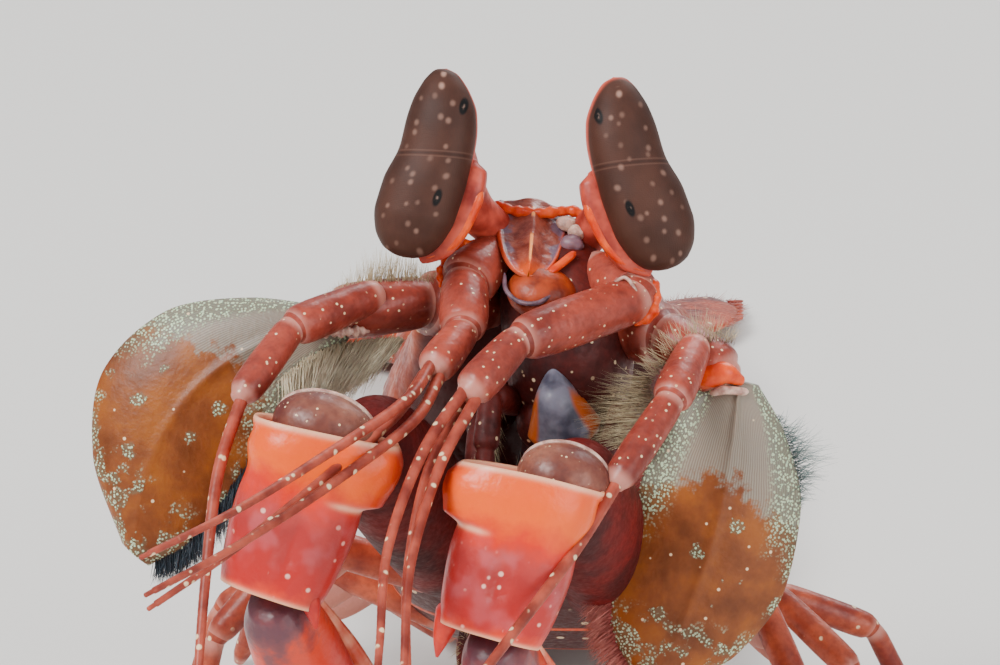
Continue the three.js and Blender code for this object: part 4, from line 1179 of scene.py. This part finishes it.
def scale_skin(side, sign):
    t, x = share_grid(120, 91)
    thick = SCALE_THICK * mix(1.5, 0.85, smooth(t * 3)) * np.sqrt(np.maximum(0.05, 1 - x**4))
    rib = 0.3 * hump(x, 0, 0.07) * (1 - t)
    return plate_skin(scale_grid(side, sign, t, x, thick / 2 + rib), scale_grid(side, sign, t, x, -thick / 2))


def scale_paint():
    """Amber plate, grey and feathery at its root, with green-white grains in clusters."""
    p = Paint("scale_shell")
    cloud = p.span(p.noise(4.0, 4.0, 0.6), 0.28, 0.72)
    p.ramp(cloud, (0, tint(120, 68, 22)), (0.5, tint(146, 88, 42)), (1, tint(168, 106, 38)))
    t, across = p.mark("along"), p.mark("across")
    x = p.absolute(across)
    ragged = p.times(p.minus(p.noise(1.4, 4.0, 0.7), 0.5), 0.35)
    reach = p.minus(p.plus(t, ragged), p.times(x, 0.12))
    patch = p.span(reach, 0.33, 0.27)
    p.cover(p.times(patch, 0.85), tint(146, 138, 126))
    combed = p.math("SINE", p.plus(p.times(across, 190), p.times(p.noise(2.4, 2.0), 12)))
    p.cover(p.times(p.span(combed, -0.6, 1.0, 0.0, 0.24), patch), tint(206, 202, 188))
    ragged_cells = p.plus(p.cells(2.9), p.times(p.minus(p.noise(0.5, 2.0), 0.5), 0.3))
    cluster = p.span(ragged_cells, 0.22, 0.14)
    margin = p.times(p.span(x, 0.5, 0.72), p.span(reach, 0.46, 0.3))
    frill = p.times(p.span(p.plus(x, ragged), 0.86, 0.95), p.span(p.noise(1.6, 1.0), 0.45, 0.6))
    tip = p.times(p.span(t, 0.74, 0.84), p.span(p.noise(1.5, 3.0), 0.5, 0.58))
    grainy = p.larger(p.larger(cluster, margin), p.larger(frill, tip))
    speck = p.times(p.span(p.cells(0.22), 0.5, 0.34), grainy)
    p.cover(p.times(grainy, 0.35), tint(112, 132, 112))
    p.cover(speck, tint(206, 220, 190))
    p.cover(p.span(p.cells(1.5), 0.1, 0.06), CREAM)
    return p.finish(0.46, p.relief(speck, 0.08, p.relief(p.noise(0.35, 3.0), 0.05)), 0.2, 0.6, coat=0.06)


SCALE = scale_paint()
for side, sign in SIDES:
    shape = ANTENNAE[side]
    base = limb_skin(shape["base"], [2.4, 2.9, 2.2], vec(0, 0.5, 0.86), flat=0.8)
    dress(f"antenna_base_{side}", base, LIMB)
    dress(f"antennal_scale_{side}", scale_skin(side, sign), SCALE)
    dress(f"antenna_stem_{side}", limb_skin(shape["stem"], [1.5, 1.35, 1.05], STEM_UP), LIMB)
    dress(f"antenna_feeler_{side}", feeler_skin(shape["feeler"], 0.92, 0.46), FEELER, "whip")


# Fringes and tufts round the antennae

PLUME_ROWS = np.linspace(0.1, 0.97, 12)
SCALE_CORE = 0.3


def scale_edge(side, sign, t, x):
    """Points near one edge of a scale, and the way out of it there."""
    edge = scale_grid(side, sign, t, np.full(len(t), x))
    core = scale_grid(side, sign, t, np.full(len(t), math.copysign(SCALE_CORE, x)))
    return edge, unit(edge - core)


def scale_fringe(side, sign, material):
    """Plumes along the inner, lower edge of a scale."""
    root, tip = SCALES[side][:2]
    down = unit(np.subtract(tip, root))
    edge, out = scale_edge(side, sign, PLUME_ROWS, -0.97)
    plumes = fringe(edge, out * 0.8 + down, [1.4, 2.2, 2.6, 2.4, 1.6], 2600, 0.075, down * 0.06)
    put(f"scale_{side}_fringe", plumes, material)


scale_fringe("right", -1, DARK_HAIR)
scale_fringe("left", 1, PINK_HAIR)
edge, out = scale_edge("left", 1, PLUME_ROWS[:5] * 0.8, 0.97)
plumes = fringe(edge, out + vec(0, 0.9, 0.25), [0.5, 3.6, 0.6], 300, 0.045, vec(0, 0.02, -0.05), 0.3)
put("scale_left_outer_fringe", plumes, TEAL_HAIR)

# Material, roots, aims, lengths, number of hairs, width, and how they bend and stray
TUFTS = {
    "antenna_right_fan": (
        GREY_HAIR,
        [(-7.6, -6.4, 48.4), (-10.3, -7.6, 48.2), (-12.4, -9.0, 47.8), (-14.6, -11.2, 46.4)],
        [(-0.55, -0.5, -0.75), (-0.4, -0.5, -0.85), (-0.1, -0.4, -0.9), (0.2, -0.3, -0.9)],
        [3.8, 5.2, 5.0, 3.0],
        2600, 0.09, (-0.03, 0, 0), 0.06, 0.3,
    ),
    "antenna_right_tuft": (
        PALE_HAIR,
        [(-12.6, -7.6, 50.8), (-9.9, -5.6, 51.3), (-6.0, -2.6, 50.6)],
        [(0, 0.25, 1)] * 3,
        [1.2, 3.2, 2.0],
        420, 0.05,
    ),
    "antenna_left_tuft": (
        PALE_HAIR,
        [(9.4, -2.0, 45.4), (11.0, -3.6, 47.4), (12.4, -2.6, 49.0), (15.0, 0.2, 48.4)],
        [(-0.9, -0.5, 0.3), (-0.8, -0.3, 0.6), (-0.2, 0.1, 1), (0.4, 0.2, 1)],
        [1.6, 2.2, 2.4, 1.6],
        230, 0.04, (0, 0, 0), 0.3,
    ),
    "mouth_left_hairs": (
        PALE_HAIR,
        [(10.0, -3.6, 46.6), (10.6, -5.0, 44.4), (9.8, -5.4, 42.4)],
        [(-1, -0.2, 0.1), (-1, -0.15, -0.05), (-1, -0.1, -0.2)],
        [2.8, 5.0, 3.6],
        300, 0.04, (0, 0, -0.05),
    ),
    "mouth_right_hairs": (
        PALE_HAIR,
        [(-1.6, -2.6, 45.4), (-2.0, -3.6, 42.8), (-1.6, -4.2, 40.2)],
        [(0.3, -0.5, -1), (0.2, -0.4, -1)],
        [2.6, 3.4],
        380, 0.045,
    ),
}
for name, (material, *look) in TUFTS.items():
    put(name, fringe(*look), material)
KNOB_LINE = [
    (13.5, -1.6, 46.0, 0.6, 0.7), (14.0, -2.0, 46.7, 1.0, 1.0), (15.0, -1.9, 46.9, 0.8, 0.8),
    (16.0, -1.2, 46.2, 0.4, 0.4),
]
RIGHT_FOLD = [(-14.0, -10.0, 50.0), (-12.8, -9.9, 50.9), (-11.4, -9.0, 51.2), (-10.2, -7.8, 51.4)]
RIGHT_PALE = [(-13.6, -10.6, 49.3), (-12.2, -10.2, 49.7), (-10.6, -9.0, 49.6), (-9.4, -8.0, 49.4)]
put("antenna_left_knob", ellipse_tube(KNOB_LINE, vec(0, 1, 0)), RIM)
rim("antenna_right_fold", 0.4, RIM, RIGHT_FOLD, 0.4)
rim("antenna_right_pale", 0.34, PALE, RIGHT_PALE, 0.4)
rim("antenna_left_fold", 0.3, PALE, [(14.2, -2.6, 45.5), (15.2, -2.4, 45.8), (16.6, -1.2, 45.4)])


# First maxillipeds

FIRST = {
    "right": [(-0.6, -1.4, 42.6), (-1.2, -5.4, 44.6), (-0.9, -7.6, 41.2), (-0.4, -9.4, 38.2)],
    "left": [(7.4, 0.6, 41.4), (7.8, -3.4, 43.4), (7.5, -5.8, 40.2), (6.9, -7.8, 37.4)],
}
for side, joints in FIRST.items():
    dress(f"maxilliped_1_{side}", limb_skin(joints, [1.2, 1.0, 0.85, 0.6], vec(1, 0.1, 0), 24), SHADED_LIMB)


# Claws

CLAWS = {
    "right": {
        "base": (-6.4, 4.8, 26.4), "knee": (-6.6, -17.6, 45.6), "top": (-7.9, -21.4, 47.0),
        "wrist": (-10.6, -25.4, 36.2), "foot": (-8.0, -9.4, 12.2),
    },
    "left": {
        "base": (6.2, 5.0, 25.6), "knee": (7.2, -14.4, 42.8), "top": (6.0, -18.2, 43.6),
        "wrist": (4.2, -22.2, 33.8), "foot": (5.4, -6.2, 11.0),
    },
}
# Rows of share along, half depth in front, half depth behind and half width
MERUS_FORM = [
    (-0.04, 2.2, 2.2, 1.9), (0.06, 3.2, 3.2, 2.8), (0.3, 4.4, 4.6, 3.5), (0.65, 4.6, 4.8, 3.5),
    (0.88, 4.0, 4.3, 3.1), (0.98, 2.8, 3.0, 2.2), (1.02, 1.4, 1.5, 1.1),
]
PROPODUS_FORM = [
    (0.02, 1.9, 1.8, 1.6), (0.08, 3.0, 2.6, 2.4), (0.28, 4.0, 3.2, 2.7), (0.6, 3.9, 3.1, 2.6),
    (0.88, 2.9, 2.7, 2.2), (0.98, 2.0, 2.1, 1.7), (1.0, 1.2, 1.2, 1.0),
]
CARPUS_FORM = [
    (-0.06, 3.2, 3.0, 4.5), (0.12, 3.5, 3.1, 4.7), (0.34, 3.3, 3.1, 4.2), (0.5, 3.2, 3.0, 4.3),
    (0.8, 3.0, 2.8, 4.0), (1.0, 2.7, 2.5, 3.5),
]
# Share along and share of the size where the carpus folds in at its upper and lower opening
CUP = np.array([(0.24, 0.76), (0.14, 0.8), (0.06, 0.86), (-0.02, 0.91), (-0.055, 0.955)])
SOCKET = np.array([(1.0, 0.95), (0.98, 0.9), (0.93, 0.84), (0.86, 0.78)])
CARPUS_FRONT = vec(0.29, -0.89, 0.34)
CARPUS_TOP, CARPUS_ROWS, CARPUS_SIDES, CARPUS_POWER = -0.06, 100, 120, 2.6
LOBE, SLANT, INSIDE_FROM = 1.2, -0.05, 0.93
DOMES = {"right": ((-7.9, -21.2, 47.0), 3.7), "left": ((7.4, -15.6, 43.1), 3.3)}
DOME_DEEP, DOME_HIGH = 2.6, 2.5
CLAW_ROWS, CLAW_SIDES, CLAW_POWER = 90, 72, 2.2
TEETH, FINGER_ROOM = 8, 4.9
TOOTH_FORM = ((0.0, 0.17), (0.35, 0.13), (0.7, 0.08), (1.0, 0.02))
TOOTH_BEND = vec(0, 0, 0.5)


def claw_length(p, q, front, form):
    """A length of claw from p to q, deeper towards "front" and behind as its form says."""
    ahead = unit(q - p)
    depth = square_to(front, ahead)
    t = np.linspace(form[0][0], form[-1][0], CLAW_ROWS)
    fore, rear, half = flow(form, t).T
    middle = mix(p, q, t[:, None])
    side = np.cross(ahead, depth)
    return skin_rings(ring_points(middle, side, depth, half, fore, CLAW_SIDES, CLAW_POWER, rear))


def carpus_skin(claw, sign):
    """A cowl, open above and below, with a flared lobe on its inner side."""
    ahead = unit(claw["wrist"] - claw["top"])
    depth = square_to(CARPUS_FRONT, ahead)
    inner = to_middle(np.cross(ahead, depth), sign)
    wall = np.linspace(CARPUS_TOP, 1.0, CARPUS_ROWS)
    t = np.concatenate([CUP[:, 0], wall, SOCKET[:, 0]])
    shrink = np.concatenate([CUP[:, 1], np.ones(CARPUS_ROWS), SOCKET[:, 1]])
    fore, rear, half = (flow(CARPUS_FORM, t) * shrink[:, None]).T
    middle = mix(claw["top"], claw["wrist"], t[:, None])
    rings = ring_points(middle, inner, depth, half, fore, CARPUS_SIDES, CARPUS_POWER, rear)
    x = (rings - middle[:, None]) @ inner / half[:, None]
    front = (rings - middle[:, None]) @ depth > 0
    row = t[:, None]
    slope = x - 0.9 if sign < 0 else 0.3 - 0.5 * x - 0.5 * x * x
    length = np.linalg.norm(claw["wrist"] - claw["top"])
    drop = SLANT * length * slope * (1 - smooth(row, CARPUS_TOP, 0.4))
    bump = window(row, -0.1, 0.05, 0.3, 0.37) * smooth(x, 0.25, 1) * LOBE
    flare = 0.35 * hump(row, -0.05, 0.05) * x
    fold = -0.5 * hump(x, 0.1, 0.16) * hump(row, 0.62, 0.22) * front
    rings = rings + ahead * drop[..., None] + inner * (bump + flare)[..., None] + depth * fold[..., None]
    lip = hump(row, -0.05, 0.022) + hump(row, 1.0, 0.02) + hump(row, 0.36, 0.02) * smooth(x, 0.35, 0.7)
    along, inside = (np.repeat(v, CARPUS_SIDES) for v in (t, shrink < INSIDE_FROM))
    return skin_rings(rings, along=along, lip=lip, inside=inside, inner=x)


def claw_paint(name, stops, dots=1.2, dots_from=0.4):
    """Wet claw shell: colours that change along it, pinkish-white patches of painted sheen, pale lips, deep
    orange inside, pale dots.
    """
    p = Paint(name)
    t = p.mark("along")
    cloud = p.minus(p.noise(2.2, 3.0, 0.6), 0.5)
    p.ramp(p.plus(t, p.times(cloud, 0.3)), *stops)
    # Painted highlight: pinkish-white patches of wet sheen, from a third of the way along
    sheen = p.span(p.noise(2.6, 2.0), 0.52, 0.7, 0.0, 0.22)
    p.cover(p.times(sheen, p.span(t, 0.3, 0.5)), tint(222, 150, 158))
    spots = p.times(p.span(p.cells(dots), 0.2, 0.1), p.span(t, dots_from, dots_from + 0.15))
    p.cover(p.times(spots, p.span(p.noise(2.4, 1.0), 0.44, 0.52)), tint(250, 200, 186))
    p.cover(p.span(p.mark("inner"), 0.78, 1.0, 0.0, 0.75), tint(186, 58, 50))
    p.cover(p.mark("inside"), tint(206, 56, 26))
    p.cover(p.mark("lip"), LIP_PINK)
    return p.finish(0.34, p.relief(p.noise(1.2, 3.0), 0.14), 0.35, 1.0, coat=0.15, coat_rough=0.2)


def claw_spine(claw, sign):
    """The small spine that hangs from the carpus on its inner side."""
    root = claw["wrist"] + vec(-sign * 2.8, -0.2, 1.4)
    line = [
        (*root, 1.0, 1.0),
        (*root + vec(-sign * 0.5, -0.3, -1.8), 0.6, 0.6),
        (*root + vec(-sign * 0.8, -0.4, -3.2), 0.12, 0.12),
    ]
    return ellipse_tube(line, vec(0, 1, 0), 24, 24, along=np.full(24, 0.9))


def claw_dome(side, claw):
    """The rounded end of the merus behind the carpus, with a pale arch round it."""
    middle, wide = DOMES[side]
    down = unit(claw["wrist"] - claw["top"])
    across = normal_to(down, VIEW_BACK)
    axes = (across, normal_to(across, down), -down)
    put(f"claw_dome_{side}", ball_skin(middle, (wide, DOME_DEEP, DOME_HIGH), axes, 64, 40), DOME)
    turn = np.linspace(0.3, 2.8, 9)[:, None]
    arch = middle + across * wide * 0.99 * np.cos(turn) - down * DOME_HIGH * np.sin(turn)
    rim(f"claw_dome_{side}_rim", 0.2, PALE, arch)


def claw_tooth(root, aim, size):
    line = []
    for t, r in TOOTH_FORM:
        place = root + aim * size * t + TOOTH_BEND * size * t * t
        line.append((*place, r * size, r * size))
    return ellipse_tube(line, vec(1, 0, 0), 12, 14)


def claw_finger(claw, drop, front):
    """The folded finger behind the propodus, with its row of long teeth."""

    def beside(t, rear):
        return mix(claw["wrist"], claw["foot"], t) - front * rear

    line = [
        (*beside(1.03, -1.0), 1.6, 1.5),
        (*beside(1.05, 2.2), 1.5, 1.7),
        (*beside(0.98, FINGER_ROOM - 0.3), 1.1, 1.6),
        (*beside(0.8, FINGER_ROOM + 0.1), 0.9, 1.35),
        (*beside(0.5, FINGER_ROOM), 0.75, 1.1),
        (*beside(0.24, FINGER_ROOM - 0.6), 0.35, 0.4),
    ]
    finger = ellipse_tube(line, vec(1, 0, 0), 32, 90)
    aim = unit(front - drop * 0.5)
    for k in range(TEETH):
        root = beside(mix(0.9, 0.36, k / (TEETH - 1)), FINGER_ROOM - 0.9)
        finger = finger + claw_tooth(root, aim, mix(2.6, 1.8, k / TEETH))
    return finger


# Orange at the top and red below are the carpus's own colours; the lighter pink stop at 0.48 is its pink with
# a painted highlight laid in
CARPUS_STOPS = [
    (0.0, tint(244, 110, 8)),
    (0.22, tint(244, 118, 10)),
    (0.36, tint(224, 66, 34)),
    (0.48, tint(196, 84, 80)),
    (0.6, tint(182, 70, 68)),
    (0.9, tint(198, 58, 54)),
    (1.0, tint(230, 84, 50)),
]
PROPODUS_STOPS = [
    (0.0, tint(124, 86, 94)),
    (0.06, tint(152, 96, 98)),
    (0.12, tint(222, 92, 62)),
    (0.3, tint(218, 78, 68)),
    (0.7, tint(204, 72, 64)),
    (1.0, tint(226, 104, 70)),
]
CARPUS = claw_paint("carpus_shell", CARPUS_STOPS)
PROPODUS = claw_paint("propodus_shell", PROPODUS_STOPS, 1.4, 0.2)
# The merus's own red, darkened as painted shade: it lies in shadow behind the carpus
SHADED_MERUS = shell_paint(
    "merus_shaded_shell", tint(84, 16, 16), tint(134, 34, 28), glow=0.3, depth=1.0, rough=0.6, coat=0.0
)
DOME = shell_paint("dome_shell", tint(118, 66, 60), tint(172, 122, 104), 0.5, glow=0.3, depth=0.8)
FINGER = plain_paint("finger_shell", tint(226, 120, 92), LIP_PINK, 2.0, 0.28)
for side, sign in SIDES:
    claw = {key: np.array(value) for key, value in CLAWS[side].items()}
    drop = unit(claw["foot"] - claw["wrist"])
    front = normal_to(drop, vec(1, 0, 0))
    merus = claw_length(claw["base"], claw["knee"], vec(0, 1, 1), MERUS_FORM)
    propodus = claw_length(claw["wrist"], claw["foot"], front, PROPODUS_FORM)
    dress(f"claw_carpus_{side}", carpus_skin(claw, sign) + claw_spine(claw, sign), CARPUS)
    dress(f"claw_merus_{side}", merus, SHADED_MERUS)
    claw_dome(side, claw)
    dress(f"claw_propodus_{side}", propodus, PROPODUS)
    dress(f"claw_finger_{side}", claw_finger(claw, drop, front), FINGER)


# Third to fifth maxillipeds, folded below the mouth

PAD_HALF, PAD_HIGH, PAD_THICK = 2.9, 2.6, 0.9
# Place along the body and below it, then the elbow and the pad from there
FOLDED = [
    (13, -4.6, (0.1, -5.8, 0.6), (-0.3, -7.4, -3.2)),
    (19, -6.6, (0.1, -6.2, 0.2), (-0.3, -7.8, -3.8)),
    (25, -6.6, (0.1, -7.6, -0.4), (-0.3, -9.0, -4.4)),
]


def folded_limb(node, root, elbow, pad, sign):
    """A thin limb that ends in an upright round pad with hairs round its edge."""
    ahead = unit(pad - elbow)
    face = unit(vec(sign, 0.15, 0))
    across = normal_to(ahead, face)
    axes = (across, normal_to(face, across), face)
    middle = pad + ahead
    disc = ball_skin(middle, (PAD_HIGH, PAD_HALF, PAD_THICK), axes)
    dress(node, limb_skin([root, elbow, pad], [1.25, 1.1, 0.9], vec(1, 0, 0), 24) + disc, SHADED_LIMB)
    turn = np.linspace(0, 2 * math.pi, 13)[:-1, None]
    high, wide = axes[0] * np.cos(turn), axes[1] * np.sin(turn)
    edge = middle + high * PAD_HIGH * 0.9 + wide * PAD_HALF * 0.9
    put(f"{node}_hairs", fringe(edge, high + wide, [1.3, 1.3], 160, 0.05), PALE_HAIR)


for side, sign in SIDES:
    flip = vec(sign, 1, 1)
    for i, (s, rise, elbow, pad) in enumerate(FOLDED):
        root = on_body(s, sign * 2.0, rise)
        folded_limb(f"maxilliped_{i + 3}_{side}", root, root + elbow * flip, root + pad * flip, sign)


# Walking legs, each with a thin paddle beside it

# Knee, shin and foot from the leg's root; the foot stands on the ground
LEGS = [
    ((9.0, -5.4, 4.6), (14.6, -10.4, -2.6), (17.6, -13.2)),
    ((10.4, -2.2, 4.8), (17.4, -4.4, 0.2), (21.4, -5.6)),
    ((10.0, 1.4, 4.6), (17.2, 4.4, 1.2), (21.4, 6.6)),
]
FOOT_HEIGHT = 0.5
for side, sign in SIDES:
    flip = vec(sign, 1, 1)
    for i, (knee, shin, foot) in enumerate(LEGS):
        root = on_body(CARAPACE + (i + 0.5) * THORAX, sign * 8.6, -3.0)
        paddle_end = root + (knee + vec(2.6, -3.2, -4.6)) * flip
        knee, shin, foot = (root + place * flip for place in (knee, shin, (*foot, 0)))
        foot[2] = FOOT_HEIGHT
        walk = limb_skin([root, knee, shin, foot], [1.6, 1.3, 1.05, 0.7], vec(0, 1, 0.05), 24)
        paddle = blade_skin(mix(root, knee, 0.62), paddle_end, 3.0, 0.9, vec(0, 1, 0.2), 24, 24)
        dress(f"leg_{i + 1}_{side}", walk + paddle, LEG)


# Floor and light

FLOOR_HALF = 3.0
AIM = Vector((0.02, -0.05, 0.04))
# Place, size and power of each light
LIGHTS = {
    "key": ((-0.35, -0.6, 0.75), 0.45, 14),
    "fill": ((0.7, -0.4, 0.35), 0.6, 5),
    "back": ((0.1, 0.8, 0.7), 0.6, 8),
}


def floor():
    mesh = bpy.data.meshes.new("floor")
    corners = [(x * FLOOR_HALF, y * FLOOR_HALF, 0) for x, y in ((-1, -1), (1, -1), (1, 1), (-1, 1))]
    mesh.from_pydata(corners, [], [(0, 1, 2, 3)])
    sheet = bpy.data.objects.new("floor", mesh)
    bpy.context.scene.collection.objects.link(sheet)
    paper = Paint("floor_paper")
    paper.colour = tint(230, 228, 224)
    mesh.materials.append(paper.finish(0.8))


def area_light(name, place, size, power):
    data = bpy.data.lights.new(name, "AREA")
    data.size = size
    data.energy = power
    light = bpy.data.objects.new(name, data)
    light.location = place
    light.rotation_euler = (AIM - Vector(place)).to_track_quat("-Z", "Y").to_euler()
    bpy.context.scene.collection.objects.link(light)


floor()
for name, settings in LIGHTS.items():
    area_light(name, *settings)
world = bpy.data.worlds.new("studio")
bpy.context.scene.world = world
world.use_nodes = True
background = world.node_tree.nodes["Background"]
background.inputs["Color"].default_value = (0.9, 0.93, 1.0, 1)
background.inputs["Strength"].default_value = 0.45


# The camera looks from 18 degrees round to the animal's left and 20 degrees up

SEE_BACK = vec(0.2904, -0.8937, 0.3420)
SEE_RIGHT = vec(0.9511, 0.3090, 0.0)
SEE_UP = vec(-0.1057, 0.3253, 0.9397)
PICTURE_WIDE, PX_PER_MM, SENSOR = 1000, 14, 36
CAMERA_FAR = 300.0
# A place by the rostral plate, and how many pixels right of and above the picture's middle it is
ANCHOR, ANCHOR_RIGHT, ANCHOR_UP = vec(1.1, 0, 54), 45, 82.5
SIGHT = ANCHOR - SEE_RIGHT * ANCHOR_RIGHT / PX_PER_MM - SEE_UP * ANCHOR_UP / PX_PER_MM
camera_data = bpy.data.cameras.new("camera")
camera_data.sensor_width = SENSOR
camera_data.lens = SENSOR * CAMERA_FAR / (PICTURE_WIDE / PX_PER_MM)
camera_data.clip_start = 0.01
camera = bpy.data.objects.new("camera", camera_data)
bpy.context.scene.collection.objects.link(camera)
turn = Matrix([SEE_RIGHT, SEE_UP, SEE_BACK]).transposed()
camera.matrix_world = Matrix.Translation((SIGHT + SHIFT + SEE_BACK * CAMERA_FAR) * MM) @ turn.to_4x4()
bpy.context.scene.camera = camera
